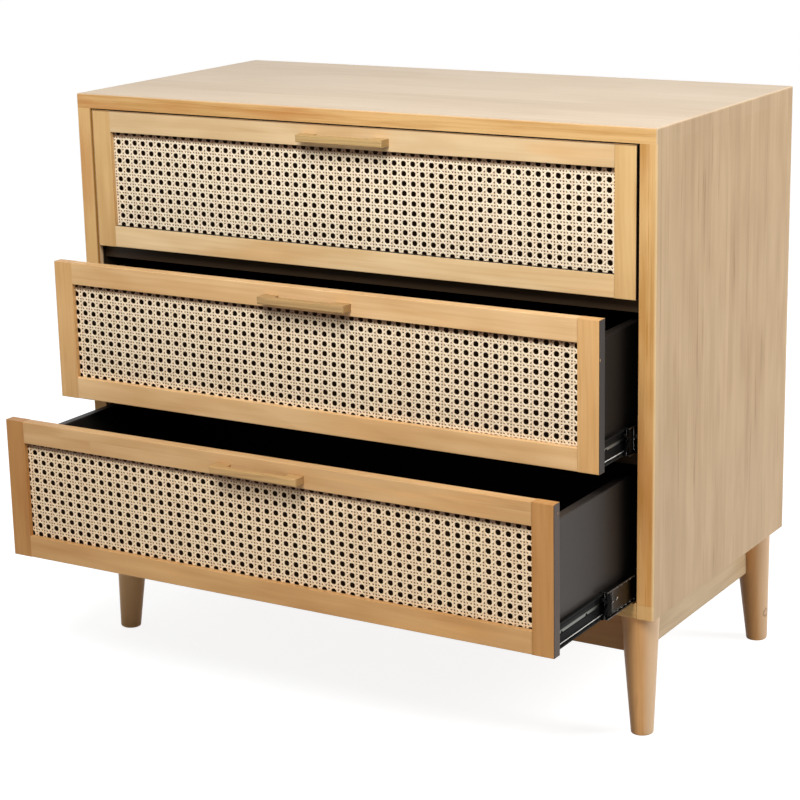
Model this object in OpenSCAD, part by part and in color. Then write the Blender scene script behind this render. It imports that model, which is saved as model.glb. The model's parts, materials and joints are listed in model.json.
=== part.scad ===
// Cabinet with three drawers whose fronts hold woven cane, on four splayed legs.
// The drawers stand open by different amounts, as sizes in the Drawers section say.
// +Z is up, the drawer fronts face -Y, and the floor is at z = 0.

/* [Case] */
// Width of the case over its side panels
case_width = 800; // [600:5:1100]
// Depth of the case from its front edges to its back
case_depth = 395; // [340:5:500]
// Height of the case without its legs
case_height = 566; // [480:2:700]
// Thickness of each side panel
side_thickness = 21; // [16:1:28]
// Thickness of the top panel
top_thickness = 18; // [16:1:28]
// Thickness of the bottom panel
bottom_thickness = 18; // [16:1:28]
// Thickness of the back panel
back_thickness = 5; // [3:1:8]
// Width of the rebate in each side panel that takes the back panel
back_rebate = 10; // [8:1:12]
// Radius of the rounded outer edges of the case
case_edge_radius = 2.5; // [1:0.5:4]
// Radius of the eased inner edges of the sides and the bottom
case_inner_edge_radius = 0.8; // [0.5:0.1:1.5]

/* [Divider rails] */
// Height of each rail between two drawers
divider_height = 16; // [10:1:18]
// Depth of each rail between two drawers
divider_depth = 45; // [30:5:80]
// Space between a closed drawer front and the rail behind it
divider_setback = 2; // [1:0.5:10]
// How far a rail's top lies below the bottom edge of the front above it
divider_drop = 1.4; // [1:0.2:3]

/* [Drawers] */
// How far the top drawer stands open
top_drawer_open = 0; // [0:1:340]
// How far the middle drawer stands open
middle_drawer_open = 91; // [0:1:340]
// How far the bottom drawer stands open
bottom_drawer_open = 199; // [0:1:340]
// Thickness of the framed drawer fronts
front_thickness = 14; // [12:1:20]
// Gap between a drawer front and each side panel
front_side_gap = 3; // [1:0.5:5]
// Gap above the top front and below the bottom one
front_end_gap = 1.4; // [1:0.2:4]
// Gap between two drawer fronts
front_gap = 4.1; // [2:0.1:8]
// Width of the rails and stiles that frame the cane
frame_width = 27; // [24:1:40]
// Depth of the cane behind the frame's face
cane_recess = 6; // [3:0.5:8]
// Thickness of the woven cane
cane_thickness = 1.6; // [1:0.2:2.4]
// Width of the rebate behind the frame that the cane is glued into
cane_rebate = 8; // [5:1:12]
// Distance between the holes cut here, twice that of the real weave
cane_hole_pitch = 25; // [20:1:40]
// Distance over the flats of each eight-sided hole in the cane
cane_hole_width = 12; // [6:1:16]
// Radius of the eased outer edges of the drawer fronts
front_edge_radius = 1; // [0.5:0.1:3]
// Radius of the eased edges of the frame round the cane
opening_edge_radius = 0.5; // [0.2:0.1:2]

/* [Drawer boxes] */
// Thickness of a drawer box's sides, front and back
box_wall = 12; // [9:1:15]
// Space between a closed drawer's box and the back panel
box_rear_gap = 26; // [5:1:60]
// How far a box's top edge lies below the top of its front
box_top_drop = 25; // [24:1:50]
// How far a box's lower edge lies above the bottom of its front
box_rise = 3; // [2:0.5:8]
// Thickness of a box's floor
box_floor_thickness = 5; // [3:1:8]
// Height of the groove for the floor above a box's lower edge
box_groove_height = 9; // [6:1:15]
// Depth of the groove for the floor
box_groove_depth = 6; // [3:0.5:7]
// Radius of a box's rounded upper edges, twice that of its lower ones
box_edge_radius = 2; // [1:0.5:4]

/* [Handles] */
// Length of a handle
handle_length = 120; // [80:2:300]
// How far a handle stands out from its drawer front
handle_reach = 17; // [15:0.5:35]
// Height of a handle
handle_height = 8.5; // [7:0.5:16]
// Thickness of a handle's bar
handle_bar_thickness = 8; // [6:0.5:10]
// Width of each foot of a handle
handle_foot_width = 20; // [12:1:30]
// Distance from the top of a drawer front to its handle's centre line
handle_drop = 16; // [12:0.5:20]
// Radius of the corners between a handle's bar and its ends
handle_corner_radius = 2; // [1:0.5:4]
// Radius of the eased edges of a handle's bar
handle_edge_radius = 1.2; // [0.5:0.1:3]

/* [Runners] */
// How much shorter a runner's middle member is than the other two
mid_runner_shortening = 50; // [40:5:100]
// How far the closed middle member starts behind the front end of the case's member
mid_runner_setback = 13.5; // [0:0.5:30]
// Space between a drawer box and the side panel that a runner fills
runner_space = 12.7; // [12:0.1:14]
// Height of the runner's member on the case
runner_height = 36; // [33:1:40]
// Thickness of the runner's steel
runner_sheet = 1.2; // [0.8:0.1:1.4]
// Play between one member of a runner and the next
runner_play = 0.4; // [0.3:0.1:0.8]
// Space between the middle member and the web of each other member
runner_web_gap = 1; // [0.6:0.1:1.5]
// Height of a runner's centre line above the bottom of its drawer front
runner_rise = 17.7; // [17:0.1:25]
// Space between a closed drawer front and the runner's member on the case
runner_front_gap = 2; // [0.5:0.5:8]
// Diameter of the screw holes in a runner
runner_hole_diameter = 4.5; // [4:0.5:6]
// Distance of the first hole in the drawer's member from its front end
runner_hole_inset = 20; // [10:5:40]
// Distance between the holes in the drawer's member
runner_hole_pitch = 60; // [30:5:100]
// Distance of the first screw in the case's member from its front end
runner_screw_inset = 35; // [20:5:60]
// Distance between the two screws in the case's member
runner_screw_pitch = 200; // [100:5:220]

/* [Base] */
// Height of the legs
leg_height = 149; // [100:1:250]
// Diameter of a leg under the case
leg_top_diameter = 46; // [40:1:50]
// Diameter of a leg at the floor
leg_foot_diameter = 27; // [20:1:36]
// Distance of a leg's centre from the case's faces, under the case
leg_top_inset = 30; // [27:1:34]
// Distance of a leg's centre from the case's faces, at the floor
leg_foot_inset = 23; // [16:1:30]
// Radius of the rounding round a foot
foot_radius = 3; // [2.5:0.5:5]
// Height of the aprons between the legs
apron_height = 54; // [35:1:80]
// Thickness of the aprons
apron_thickness = 18; // [14:1:22]
// Distance of the aprons' outer faces from the case's faces
apron_setback = 29; // [26:1:32]

/* [Fasteners] */
// Diameter of the dowels between the panels
dowel_diameter = 8; // [6:1:10]
// Length of the dowels
dowel_length = 30; // [24:1:36]
// How far a dowel reaches into a panel's face
dowel_face_depth = 10; // [8:1:12]
// Distance of the outer dowels from the panels' front and back
dowel_inset = 45; // [30:5:80]
// Diameter of the screws that hold the legs
leg_screw_diameter = 4.5; // [4:0.5:6]
// Length of the screws that hold the legs
leg_screw_length = 50; // [40:5:60]
// Distance of a leg's screw from the leg's centre along the case's width
leg_screw_side_offset = 7; // [5:1:9]
// Distance of a leg's screw from the leg's centre along the case's depth
leg_screw_end_offset = 10; // [8:1:12]
// Diameter of the screws that hold the handles
handle_screw_diameter = 4; // [3:0.5:5]
// Length of the screws that hold the handles
handle_screw_length = 25; // [22:1:27]
// Diameter of the small screws of the runners and the back panel
small_screw_diameter = 3.5; // [3:0.5:4]
// Length of the small screws
small_screw_length = 14; // [12:1:16]
// Distance of the outer back panel screws from the ends of the side panels
back_screw_inset = 40; // [20:5:80]
// Number of back panel screws in each side panel
back_screw_count = 4; // [3:1:6]
// Clearance round a fastener and round panels in their grooves
fit_clearance = 0.1; // [0.05:0.05:0.3]

/* [Hidden] */
$fn = 48;
DRAWERS = ["top_drawer", "middle_drawer", "bottom_drawer"];
CASE_NODES = [
    "top_panel", "left_side_panel", "right_side_panel", "bottom_panel", "back_panel",
    "upper_divider_rail", "lower_divider_rail",
    "front_apron", "rear_apron", "left_apron", "right_apron",
    "front_left_leg", "front_right_leg", "rear_left_leg", "rear_right_leg",
    "cabinet_runners", "case_dowels", "leg_screws", "back_panel_screws", "runner_screws"
];
DRAWER_NODES = [
    "top_rail", "bottom_rail", "stiles", "cane_panel", "handle", "handle_screws",
    "box_front", "box_left_side", "box_right_side", "box_back", "box_floor",
    "drawer_runners", "mid_runners"
];

FRONT_WOOD = [0.84, 0.68, 0.45];
TOP_WOOD = [0.89, 0.82, 0.72];
SIDE_WOOD = [0.80, 0.69, 0.56];
LEG_WOOD = [0.74, 0.56, 0.38];
HANDLE_WOOD = [0.72, 0.60, 0.40];
CANE = [0.95, 0.88, 0.76];
DARK_PAINT = [0.24, 0.22, 0.22];
BLACK_STEEL = [0.15, 0.15, 0.16];
SCREW_STEEL = [0.62, 0.62, 0.63];
DOWEL_WOOD = [0.86, 0.76, 0.58];

// Length that a cutting tool passes beyond the faces that it cuts
through = 1;
// Steps in each rounded edge
arc_steps = 4;
// Turn that sets the flats of an eight-sided hole upright
octagon_turn = 22.5;

drawer_open = [top_drawer_open, middle_drawer_open, bottom_drawer_open];
// The box round the whole object is centred on x = 0 and y = 0
front_y = (max(drawer_open) + handle_reach - case_depth) / 2;
half_width = case_width / 2;
inner_half_width = half_width - side_thickness;
side_height = case_height - top_thickness;
fronts_height = side_height - bottom_thickness - 2 * front_end_gap;
front_height = (fronts_height - (len(DRAWERS) - 1) * front_gap) / len(DRAWERS);
front_width = 2 * (inner_half_width - front_side_gap);
opening_width = front_width - 2 * frame_width;
opening_height = front_height - 2 * frame_width;
cane_depth = front_thickness - cane_recess;
cane_width = opening_width + 2 * (cane_rebate - fit_clearance);
cane_height = opening_height + 2 * (cane_rebate - fit_clearance);
box_length = case_depth - back_thickness - box_rear_gap - front_thickness;
box_half_width = inner_half_width - runner_space;
box_inner_half_width = box_half_width - box_wall;
box_height = front_height - box_top_drop - box_rise;
floor_z = box_rise + box_groove_height;
handle_z = front_height - handle_drop;
handle_screw_x = handle_length / 2 - handle_foot_width / 2;
runner_first_y = front_thickness + runner_front_gap;
mid_first_y = runner_first_y + mid_runner_setback;
runner_length = box_length;
mid_runner_length = runner_length - mid_runner_shortening;
mid_height = runner_height - 2 * (runner_sheet + runner_play);
inner_height = mid_height - 2 * (runner_sheet + runner_play);
mid_first_x = runner_sheet + runner_web_gap;
mid_width = runner_space - 2 * mid_first_x;
mid_web_x = (mid_width - runner_sheet) / 2;
cabinet_lip = mid_first_x + mid_width - runner_sheet;
drawer_lip = mid_first_x + mid_web_x - runner_play;
runner_hole_rows = [runner_hole_inset : runner_hole_pitch : runner_length - runner_hole_pitch];
leg_tilt = atan(sqrt(2) * (leg_top_inset - leg_foot_inset) / leg_height);
leg_length = leg_height / cos(leg_tilt);
dowel_rows = [dowel_inset, case_depth / 2, case_depth - dowel_inset];
dowel_end_depth = dowel_length - dowel_face_depth;
runner_screw_rows = [runner_screw_inset, runner_screw_inset + runner_screw_pitch];
back_screw_pitch = (side_height - 2 * back_screw_inset) / (back_screw_count - 1);
leg_screw_x = half_width - leg_top_inset - leg_screw_side_offset;
leg_screw_y = leg_top_inset - leg_screw_end_offset;
apron_span_x = case_width - 2 * apron_setback;
apron_span_y = case_depth - 2 * apron_setback;

// Height of a drawer front's bottom edge above the case's underside
function front_bottom(i) =
    side_height - front_end_gap - front_height - i * (front_height + front_gap);

// A quarter circle that starts at the angle from
function quarter(x, y, r, from) =
    [for (s = [0 : arc_steps]) [x, y] + r * [cos(from + 90 * s / arc_steps), sin(from + 90 * s / arc_steps)]];

// One corner of an outline, sharp where the radius is 0
function corner(x, y, in_x, in_y, r, from) =
    r == 0 ? [[x, y]] : quarter(x + in_x * r, y + in_y * r, r, from);

// A rectangle with a radius for each corner, from its lower left one and anticlockwise
function eased(w, h, r) = concat(
    corner(0, 0, 1, 1, r[0], 180), corner(w, 0, -1, 1, r[1], 270),
    corner(w, h, -1, -1, r[2], 0), corner(0, h, 1, -1, r[3], 90));

// A bar along X with its outline given in Y and Z
module bar_x(length, outline) {
    rotate([90, 0, 90]) linear_extrude(length) polygon(outline);
}

// A bar along Y with its outline given in X and Z
module bar_y(length, outline) {
    translate([0, length, 0]) rotate([90, 0, 0]) linear_extrude(length) polygon(outline);
}

// Puts children in the case's frame: its front at y = 0 and its underside at z = 0
module in_case() {
    translate([0, front_y, leg_height]) children();
}

// Puts children in a drawer's frame: the front's face at y = 0, its bottom edge at z = 0
module in_drawer(i, opened = 1) {
    in_case() translate([0, -opened * drawer_open[i], front_bottom(i)]) children();
}

// The child and its mirror image on the other side of the object
module both_sides() {
    children();
    mirror([1, 0, 0]) children();
}

// A countersunk screw along -Z whose head is flush at z = 0
module flat_screw(diameter, length, clearance = 0) {
    head_height = diameter / 2;
    shank_width = diameter + 2 * clearance;
    head_width = 2 * diameter + 2 * clearance;
    difference() {
        union() {
            translate([0, 0, -length - clearance])
                cylinder(h = length + clearance, d = shank_width);
            translate([0, 0, -head_height])
                cylinder(h = head_height, d1 = shank_width, d2 = head_width);
        }
        if (clearance == 0) cross_recess(diameter);
    }
    if (clearance > 0) cylinder(h = through, d = head_width);
}

// A pan-headed screw along -Z whose head stands on z = 0
module pan_screw(diameter, length) {
    head_height = diameter * 2 / 5;
    difference() {
        union() {
            translate([0, 0, -length]) cylinder(h = length, d = diameter);
            cylinder(h = head_height, d1 = 2 * diameter, d2 = 2 * diameter - head_height);
        }
        translate([0, 0, head_height]) cross_recess(diameter);
    }
}

// The cross in a screw's head
module cross_recess(diameter) {
    slot_width = diameter / 5;
    slot_depth = diameter / 4;
    for (turn = [0, 90])
        rotate([0, 0, turn])
            translate([-diameter / 2, -slot_width / 2, -slot_depth])
                cube([diameter, slot_width, diameter]);
}

// Places of the dowels between the right side panel and the top, heads up
module top_dowel_places() {
    for (y = dowel_rows)
        translate([half_width - side_thickness / 2, y, side_height]) children();
}

// Places of the dowels between the right side panel and the bottom, heads outward
module bottom_dowel_places() {
    for (y = dowel_rows)
        translate([inner_half_width, y, bottom_thickness / 2]) rotate([0, 90, 0]) children();
}

// A dowel that reaches dowel_face_depth above z = 0 and the rest below
module dowel(clearance = 0) {
    translate([0, 0, -dowel_end_depth - clearance])
        cylinder(h = dowel_length + 2 * clearance, d = dowel_diameter + 2 * clearance);
}

module case_dowels() {
    color(DOWEL_WOOD) in_case() both_sides() {
        top_dowel_places() dowel();
        bottom_dowel_places() dowel();
    }
}

module top_panel() {
    r = case_edge_radius;
    color(TOP_WOOD) in_case() difference() {
        translate([-half_width, 0, side_height]) intersection() {
            bar_x(case_width, eased(case_depth, top_thickness, [0, 0, r, r]));
            bar_y(case_depth, eased(case_width, top_thickness, [0, 0, r, r]));
            linear_extrude(top_thickness) polygon(eased(case_width, case_depth, [r, r, r, r]));
        }
        both_sides() top_dowel_places() dowel(fit_clearance);
    }
}

// The right side panel in the case's frame
module side_panel() {
    r = case_edge_radius;
    small = case_inner_edge_radius;
    difference() {
        translate([inner_half_width, 0, 0])
            linear_extrude(side_height)
                polygon(eased(side_thickness, case_depth, [small, r, r, small]));
        translate([inner_half_width - through, case_depth - back_thickness, -through])
            cube([back_rebate + through, back_thickness + through, side_height + 2 * through]);
        top_dowel_places() dowel(fit_clearance);
        bottom_dowel_places() dowel(fit_clearance);
        runner_screw_places() runner_screw_hole();
        back_screw_places() flat_screw(small_screw_diameter, small_screw_length, fit_clearance);
    }
}

module right_side_panel() {
    color(SIDE_WOOD) in_case() side_panel();
}

module left_side_panel() {
    color(SIDE_WOOD) in_case() mirror([1, 0, 0]) side_panel();
}

module bottom_panel() {
    color(FRONT_WOOD) in_case() difference() {
        translate([-inner_half_width, 0, 0])
            bar_x(2 * inner_half_width,
                eased(case_depth - back_thickness, bottom_thickness, [case_inner_edge_radius, 0, 0, 0]));
        both_sides() bottom_dowel_places() dowel(fit_clearance);
        leg_screw_places() flat_screw(leg_screw_diameter, leg_screw_length, fit_clearance);
    }
}

module back_panel() {
    width = 2 * (inner_half_width + back_rebate - fit_clearance);
    color(DARK_PAINT) in_case() difference() {
        translate([-width / 2, case_depth - back_thickness, fit_clearance])
            cube([width, back_thickness, side_height - 2 * fit_clearance]);
        both_sides() back_screw_places() flat_screw(small_screw_diameter, small_screw_length, fit_clearance);
    }
}

// Places of the screws through the back panel into the right side panel, heads to the back
module back_screw_places() {
    x = inner_half_width + back_rebate / 2;
    for (row = [0 : back_screw_count - 1])
        translate([x, case_depth, back_screw_inset + row * back_screw_pitch])
            rotate([-90, 0, 0]) children();
}

module back_panel_screws() {
    color(SCREW_STEEL) in_case() both_sides()
        back_screw_places() flat_screw(small_screw_diameter, small_screw_length);
}

// The hole of a runner's screw in a side panel, through a member that stands on z = 0
module runner_screw_hole() {
    depth = small_screw_length - runner_sheet + fit_clearance;
    translate([0, 0, -depth])
        cylinder(h = depth + through, d = small_screw_diameter + 2 * fit_clearance);
}

// A rail between the side panels, below drawer i
module divider_rail(i) {
    y = front_thickness + divider_setback;
    z = front_bottom(i) - divider_drop - divider_height;
    color(DARK_PAINT) in_case()
        translate([-inner_half_width, y, z]) cube([2 * inner_half_width, divider_depth, divider_height]);
}

// Outline of an apron seen from above: mitred at both ends, its outer face on y = 0
function mitred(length, thickness) =
    [[0, 0], [length, 0], [length - thickness, thickness], [thickness, thickness]];

// An apron whose outer face starts at [0, 0] and runs along X
module apron(length) {
    color(LEG_WOOD) translate([0, 0, -apron_height])
        linear_extrude(apron_height) polygon(mitred(length, apron_thickness));
}

module front_apron() {
    in_case() translate([-apron_span_x / 2, apron_setback, 0]) apron(apron_span_x);
}

module rear_apron() {
    in_case() translate([apron_span_x / 2, case_depth - apron_setback, 0])
        rotate([0, 0, 180]) apron(apron_span_x);
}

module right_apron() {
    in_case() translate([apron_span_x / 2, apron_setback, 0]) rotate([0, 0, 90]) apron(apron_span_y);
}

module left_apron() {
    in_case() translate([-apron_span_x / 2, case_depth - apron_setback, 0])
        rotate([0, 0, -90]) apron(apron_span_y);
}

// A leg's half outline: radius and height, with a rounded foot, longer than the leg at both ends
function leg_outline(below, above) =
    let (slope = (leg_top_diameter - leg_foot_diameter) / 2 / leg_length)
    let (foot = leg_foot_diameter / 2 - slope * below)
    concat([[0, -below]],
        [for (s = [0 : arc_steps])
            [foot - foot_radius + foot_radius * sin(90 * s / arc_steps),
             -below + foot_radius - foot_radius * cos(90 * s / arc_steps)]],
        [[leg_top_diameter / 2 + slope * above, leg_length + above], [0, leg_length + above]]);

// The front right leg in the case's frame, cut flat above and below, notched over the aprons' corner
module leg() {
    lean = leg_foot_diameter / 2 * tan(leg_tilt);
    notch = leg_top_diameter;
    difference() {
        intersection() {
            translate([half_width - leg_foot_inset, leg_foot_inset, -leg_height])
                rotate([0, leg_tilt, 135])
                    rotate_extrude() polygon(leg_outline(lean, leg_top_diameter * tan(leg_tilt)));
            translate([half_width - 2 * leg_top_diameter, -leg_top_diameter, -leg_height])
                cube([3 * leg_top_diameter, 3 * leg_top_diameter, leg_height]);
        }
        translate([half_width - apron_setback - notch, apron_setback, -apron_height])
            cube([notch, notch, apron_height + through]);
        leg_screw_place() flat_screw(leg_screw_diameter, leg_screw_length, fit_clearance);
    }
}

// The place of the front right leg's screw, in the bottom panel's upper face
module leg_screw_place() {
    translate([leg_screw_x, leg_screw_y, bottom_thickness]) children();
}

// Puts a child of the front right corner at the front or the rear
module at_rear(rear) {
    translate([0, rear ? case_depth : 0, 0]) mirror([0, rear ? 1 : 0, 0]) children();
}

module leg_screw_places() {
    for (rear = [false, true])
        both_sides() at_rear(rear) leg_screw_place() children();
}

module leg_screws() {
    color(SCREW_STEEL) in_case() leg_screw_places() flat_screw(leg_screw_diameter, leg_screw_length);
}

module front_right_leg() {
    color(LEG_WOOD) in_case() leg();
}

module front_left_leg() {
    color(LEG_WOOD) in_case() mirror([1, 0, 0]) leg();
}

module rear_right_leg() {
    color(LEG_WOOD) in_case() at_rear(true) leg();
}

module rear_left_leg() {
    color(LEG_WOOD) in_case() mirror([1, 0, 0]) at_rear(true) leg();
}

// The rebate behind the frame's opening, in a drawer's frame
module cane_pocket() {
    translate([-opening_width / 2 - cane_rebate, cane_recess, frame_width - cane_rebate])
        cube([opening_width + 2 * cane_rebate, cane_depth + through, opening_height + 2 * cane_rebate]);
}

// Places of a handle's screws in the back of the top rail, heads to the back
module handle_screw_places() {
    for (side = [-1, 1])
        translate([side * handle_screw_x, front_thickness, handle_z]) rotate([-90, 0, 0]) children();
}

module top_rail(i) {
    color(FRONT_WOOD) in_drawer(i) difference() {
        translate([-opening_width / 2, 0, front_height - frame_width])
            bar_x(opening_width, eased(front_thickness, frame_width,
                [opening_edge_radius, 0, front_edge_radius, front_edge_radius]));
        cane_pocket();
        handle_screw_places() flat_screw(handle_screw_diameter, handle_screw_length, fit_clearance);
    }
}

module bottom_rail(i) {
    color(FRONT_WOOD) in_drawer(i) difference() {
        translate([-opening_width / 2, 0, 0])
            bar_x(opening_width, eased(front_thickness, frame_width,
                [front_edge_radius, front_edge_radius, 0, opening_edge_radius]));
        cane_pocket();
    }
}

module stiles(i) {
    color(FRONT_WOOD) in_drawer(i) both_sides() difference() {
        translate([opening_width / 2, 0, 0])
            linear_extrude(front_height)
                polygon(eased(frame_width, front_thickness,
                    [opening_edge_radius, front_edge_radius, front_edge_radius, 0]));
        cane_pocket();
    }
}

// The woven cane as one sheet, with every second hole of the weave each way
module cane_panel(i) {
    columns = floor(opening_width / cane_hole_pitch);
    rows = floor(opening_height / cane_hole_pitch);
    first_x = -(columns - 1) * cane_hole_pitch / 2;
    first_z = front_height / 2 - (rows - 1) * cane_hole_pitch / 2;
    color(CANE) in_drawer(i) difference() {
        translate([-cane_width / 2, cane_recess, front_height / 2 - cane_height / 2])
            cube([cane_width, cane_thickness, cane_height]);
        for (column = [0 : columns - 1], row = [0 : rows - 1])
            translate([first_x + column * cane_hole_pitch, cane_recess, first_z + row * cane_hole_pitch])
                cane_hole();
    }
}

// One eight-sided hole through the cane, from y = 0 to the back
module cane_hole() {
    translate([0, -through, 0]) rotate([-90, octagon_turn, 0])
        cylinder(h = cane_thickness + 2 * through, d = cane_hole_width / cos(octagon_turn), $fn = 8);
}

// A handle seen from above: a bar with a foot at each end, its feet on y = 0
function handle_plan() =
    let (inner = handle_length / 2 - handle_foot_width, outer = handle_length / 2)
    let (r = handle_corner_radius, bar_back = -handle_reach + handle_bar_thickness)
    concat(quarter(-outer + r, -handle_reach + r, r, 180), quarter(outer - r, -handle_reach + r, r, 270),
        [[outer, 0], [inner, 0], [inner, bar_back], [-inner, bar_back], [-inner, 0], [-outer, 0]]);

module handle(i) {
    color(HANDLE_WOOD) in_drawer(i) difference() {
        translate([0, 0, handle_z - handle_height / 2]) intersection() {
            linear_extrude(handle_height) polygon(handle_plan());
            translate([-handle_length / 2, -handle_reach, 0])
                bar_x(handle_length, eased(handle_reach, handle_height,
                    [handle_edge_radius, 0, 0, handle_edge_radius]));
        }
        handle_screw_places() flat_screw(handle_screw_diameter, handle_screw_length, fit_clearance);
    }
}

module handle_screws(i) {
    color(SCREW_STEEL) in_drawer(i)
        handle_screw_places() flat_screw(handle_screw_diameter, handle_screw_length);
}

// The slot that the box floor slides into, in a drawer's frame
module floor_groove() {
    reach = box_inner_half_width + box_groove_depth;
    first_y = front_thickness + box_wall - box_groove_depth;
    last_y = front_thickness + box_length - box_wall + box_groove_depth;
    translate([-reach, first_y, floor_z])
        cube([2 * reach, last_y - first_y, box_floor_thickness + 2 * fit_clearance]);
}

module box_floor(i) {
    reach = box_inner_half_width + box_groove_depth - fit_clearance;
    first_y = front_thickness + box_wall - box_groove_depth + fit_clearance;
    last_y = front_thickness + box_length - box_wall + box_groove_depth - fit_clearance;
    color(DARK_PAINT) in_drawer(i)
        translate([-reach, first_y, floor_z + fit_clearance])
            cube([2 * reach, last_y - first_y, box_floor_thickness]);
}

// Outline of a drawer box's boards, rounder along the top
function box_board() =
    let (r = box_edge_radius)
    eased(box_wall, box_height, [r / 2, r / 2, r, r]);

// The right side of a drawer box
module box_side() {
    difference() {
        translate([box_inner_half_width, front_thickness, box_rise])
            bar_y(box_length, box_board());
        floor_groove();
    }
}

module box_right_side(i) {
    color(DARK_PAINT) in_drawer(i) box_side();
}

module box_left_side(i) {
    color(DARK_PAINT) in_drawer(i) mirror([1, 0, 0]) box_side();
}

// A board across a drawer box whose front face is at y
module box_cross_board(y) {
    difference() {
        translate([-box_inner_half_width, y, box_rise])
            bar_x(2 * box_inner_half_width, box_board());
        floor_groove();
    }
}

module box_front(i) {
    color(DARK_PAINT) in_drawer(i) box_cross_board(front_thickness);
}

module box_back(i) {
    color(DARK_PAINT) in_drawer(i) box_cross_board(front_thickness + box_length - box_wall);
}

// A U-shaped member along Y, its web at x = 0 and its lips pointing to +X, centred on z = 0
module channel(length, height, width) {
    difference() {
        translate([0, 0, -height / 2]) cube([width, length, height]);
        translate([runner_sheet, -through, -height / 2 + runner_sheet])
            cube([width, length + 2 * through, height - 2 * runner_sheet]);
    }
}

// A row of holes through a member's web at x = 0
module web_holes(rows) {
    for (y = rows)
        translate([-through, y, 0]) rotate([0, 90, 0])
            cylinder(h = runner_sheet + 2 * through, d = runner_hole_diameter);
}

// The member on the right side panel, in the frame of a closed drawer
module cabinet_runner() {
    translate([inner_half_width, runner_first_y, runner_rise]) mirror([1, 0, 0]) difference() {
        channel(runner_length, runner_height, cabinet_lip);
        web_holes(runner_screw_rows);
    }
}

module cabinet_runners() {
    color(BLACK_STEEL)
        for (i = [0 : len(DRAWERS) - 1])
            in_drawer(i, 0) both_sides() cabinet_runner();
}

// Places of the screws that hold the members on the right side panel, heads inward
module runner_screw_places() {
    for (i = [0 : len(DRAWERS) - 1])
        for (y = runner_screw_rows)
            translate([inner_half_width, runner_first_y + y, front_bottom(i) + runner_rise])
                rotate([0, -90, 0]) children();
}

module runner_screws() {
    color(SCREW_STEEL) in_case() both_sides() runner_screw_places()
        translate([0, 0, runner_sheet]) pan_screw(small_screw_diameter, small_screw_length);
}

// The middle member: two channels back to back, as an I between the other two members
module mid_runner() {
    hollow = [mid_web_x + through, mid_runner_length + 2 * through, mid_height - 2 * runner_sheet];
    hollow_z = -mid_height / 2 + runner_sheet;
    translate([inner_half_width - mid_first_x, mid_first_y, runner_rise]) mirror([1, 0, 0])
        difference() {
            translate([0, 0, -mid_height / 2]) cube([mid_width, mid_runner_length, mid_height]);
            translate([-through, -through, hollow_z]) cube(hollow);
            translate([mid_web_x + runner_sheet, -through, hollow_z]) cube(hollow);
        }
}

module mid_runners(i) {
    color(BLACK_STEEL) in_drawer(i, 0.5) both_sides() mid_runner();
}

// The member on the drawer box's right side
module drawer_runner() {
    translate([box_half_width, front_thickness, runner_rise]) difference() {
        channel(runner_length, inner_height, drawer_lip);
        web_holes(runner_hole_rows);
    }
}

module drawer_runners(i) {
    color(BLACK_STEEL) in_drawer(i) both_sides() drawer_runner();
}

top_panel();
left_side_panel();
right_side_panel();
bottom_panel();
back_panel();
divider_rail(0);  // upper_divider_rail
divider_rail(1);  // lower_divider_rail
front_apron();
rear_apron();
left_apron();
right_apron();
front_left_leg();
front_right_leg();
rear_left_leg();
rear_right_leg();
cabinet_runners();
case_dowels();
leg_screws();
back_panel_screws();
runner_screws();
for (i = [0 : len(DRAWERS) - 1]) {
    top_rail(i);
    bottom_rail(i);
    stiles(i);
    cane_panel(i);
    handle(i);
    handle_screws(i);
    box_front(i);
    box_left_side(i);
    box_right_side(i);
    box_back(i);
    box_floor(i);
    drawer_runners(i);
    mid_runners(i);
}
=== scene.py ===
"""Looks, weave and stage for a three-drawer cane-front cabinet, on its fixed CAD frame."""

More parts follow.
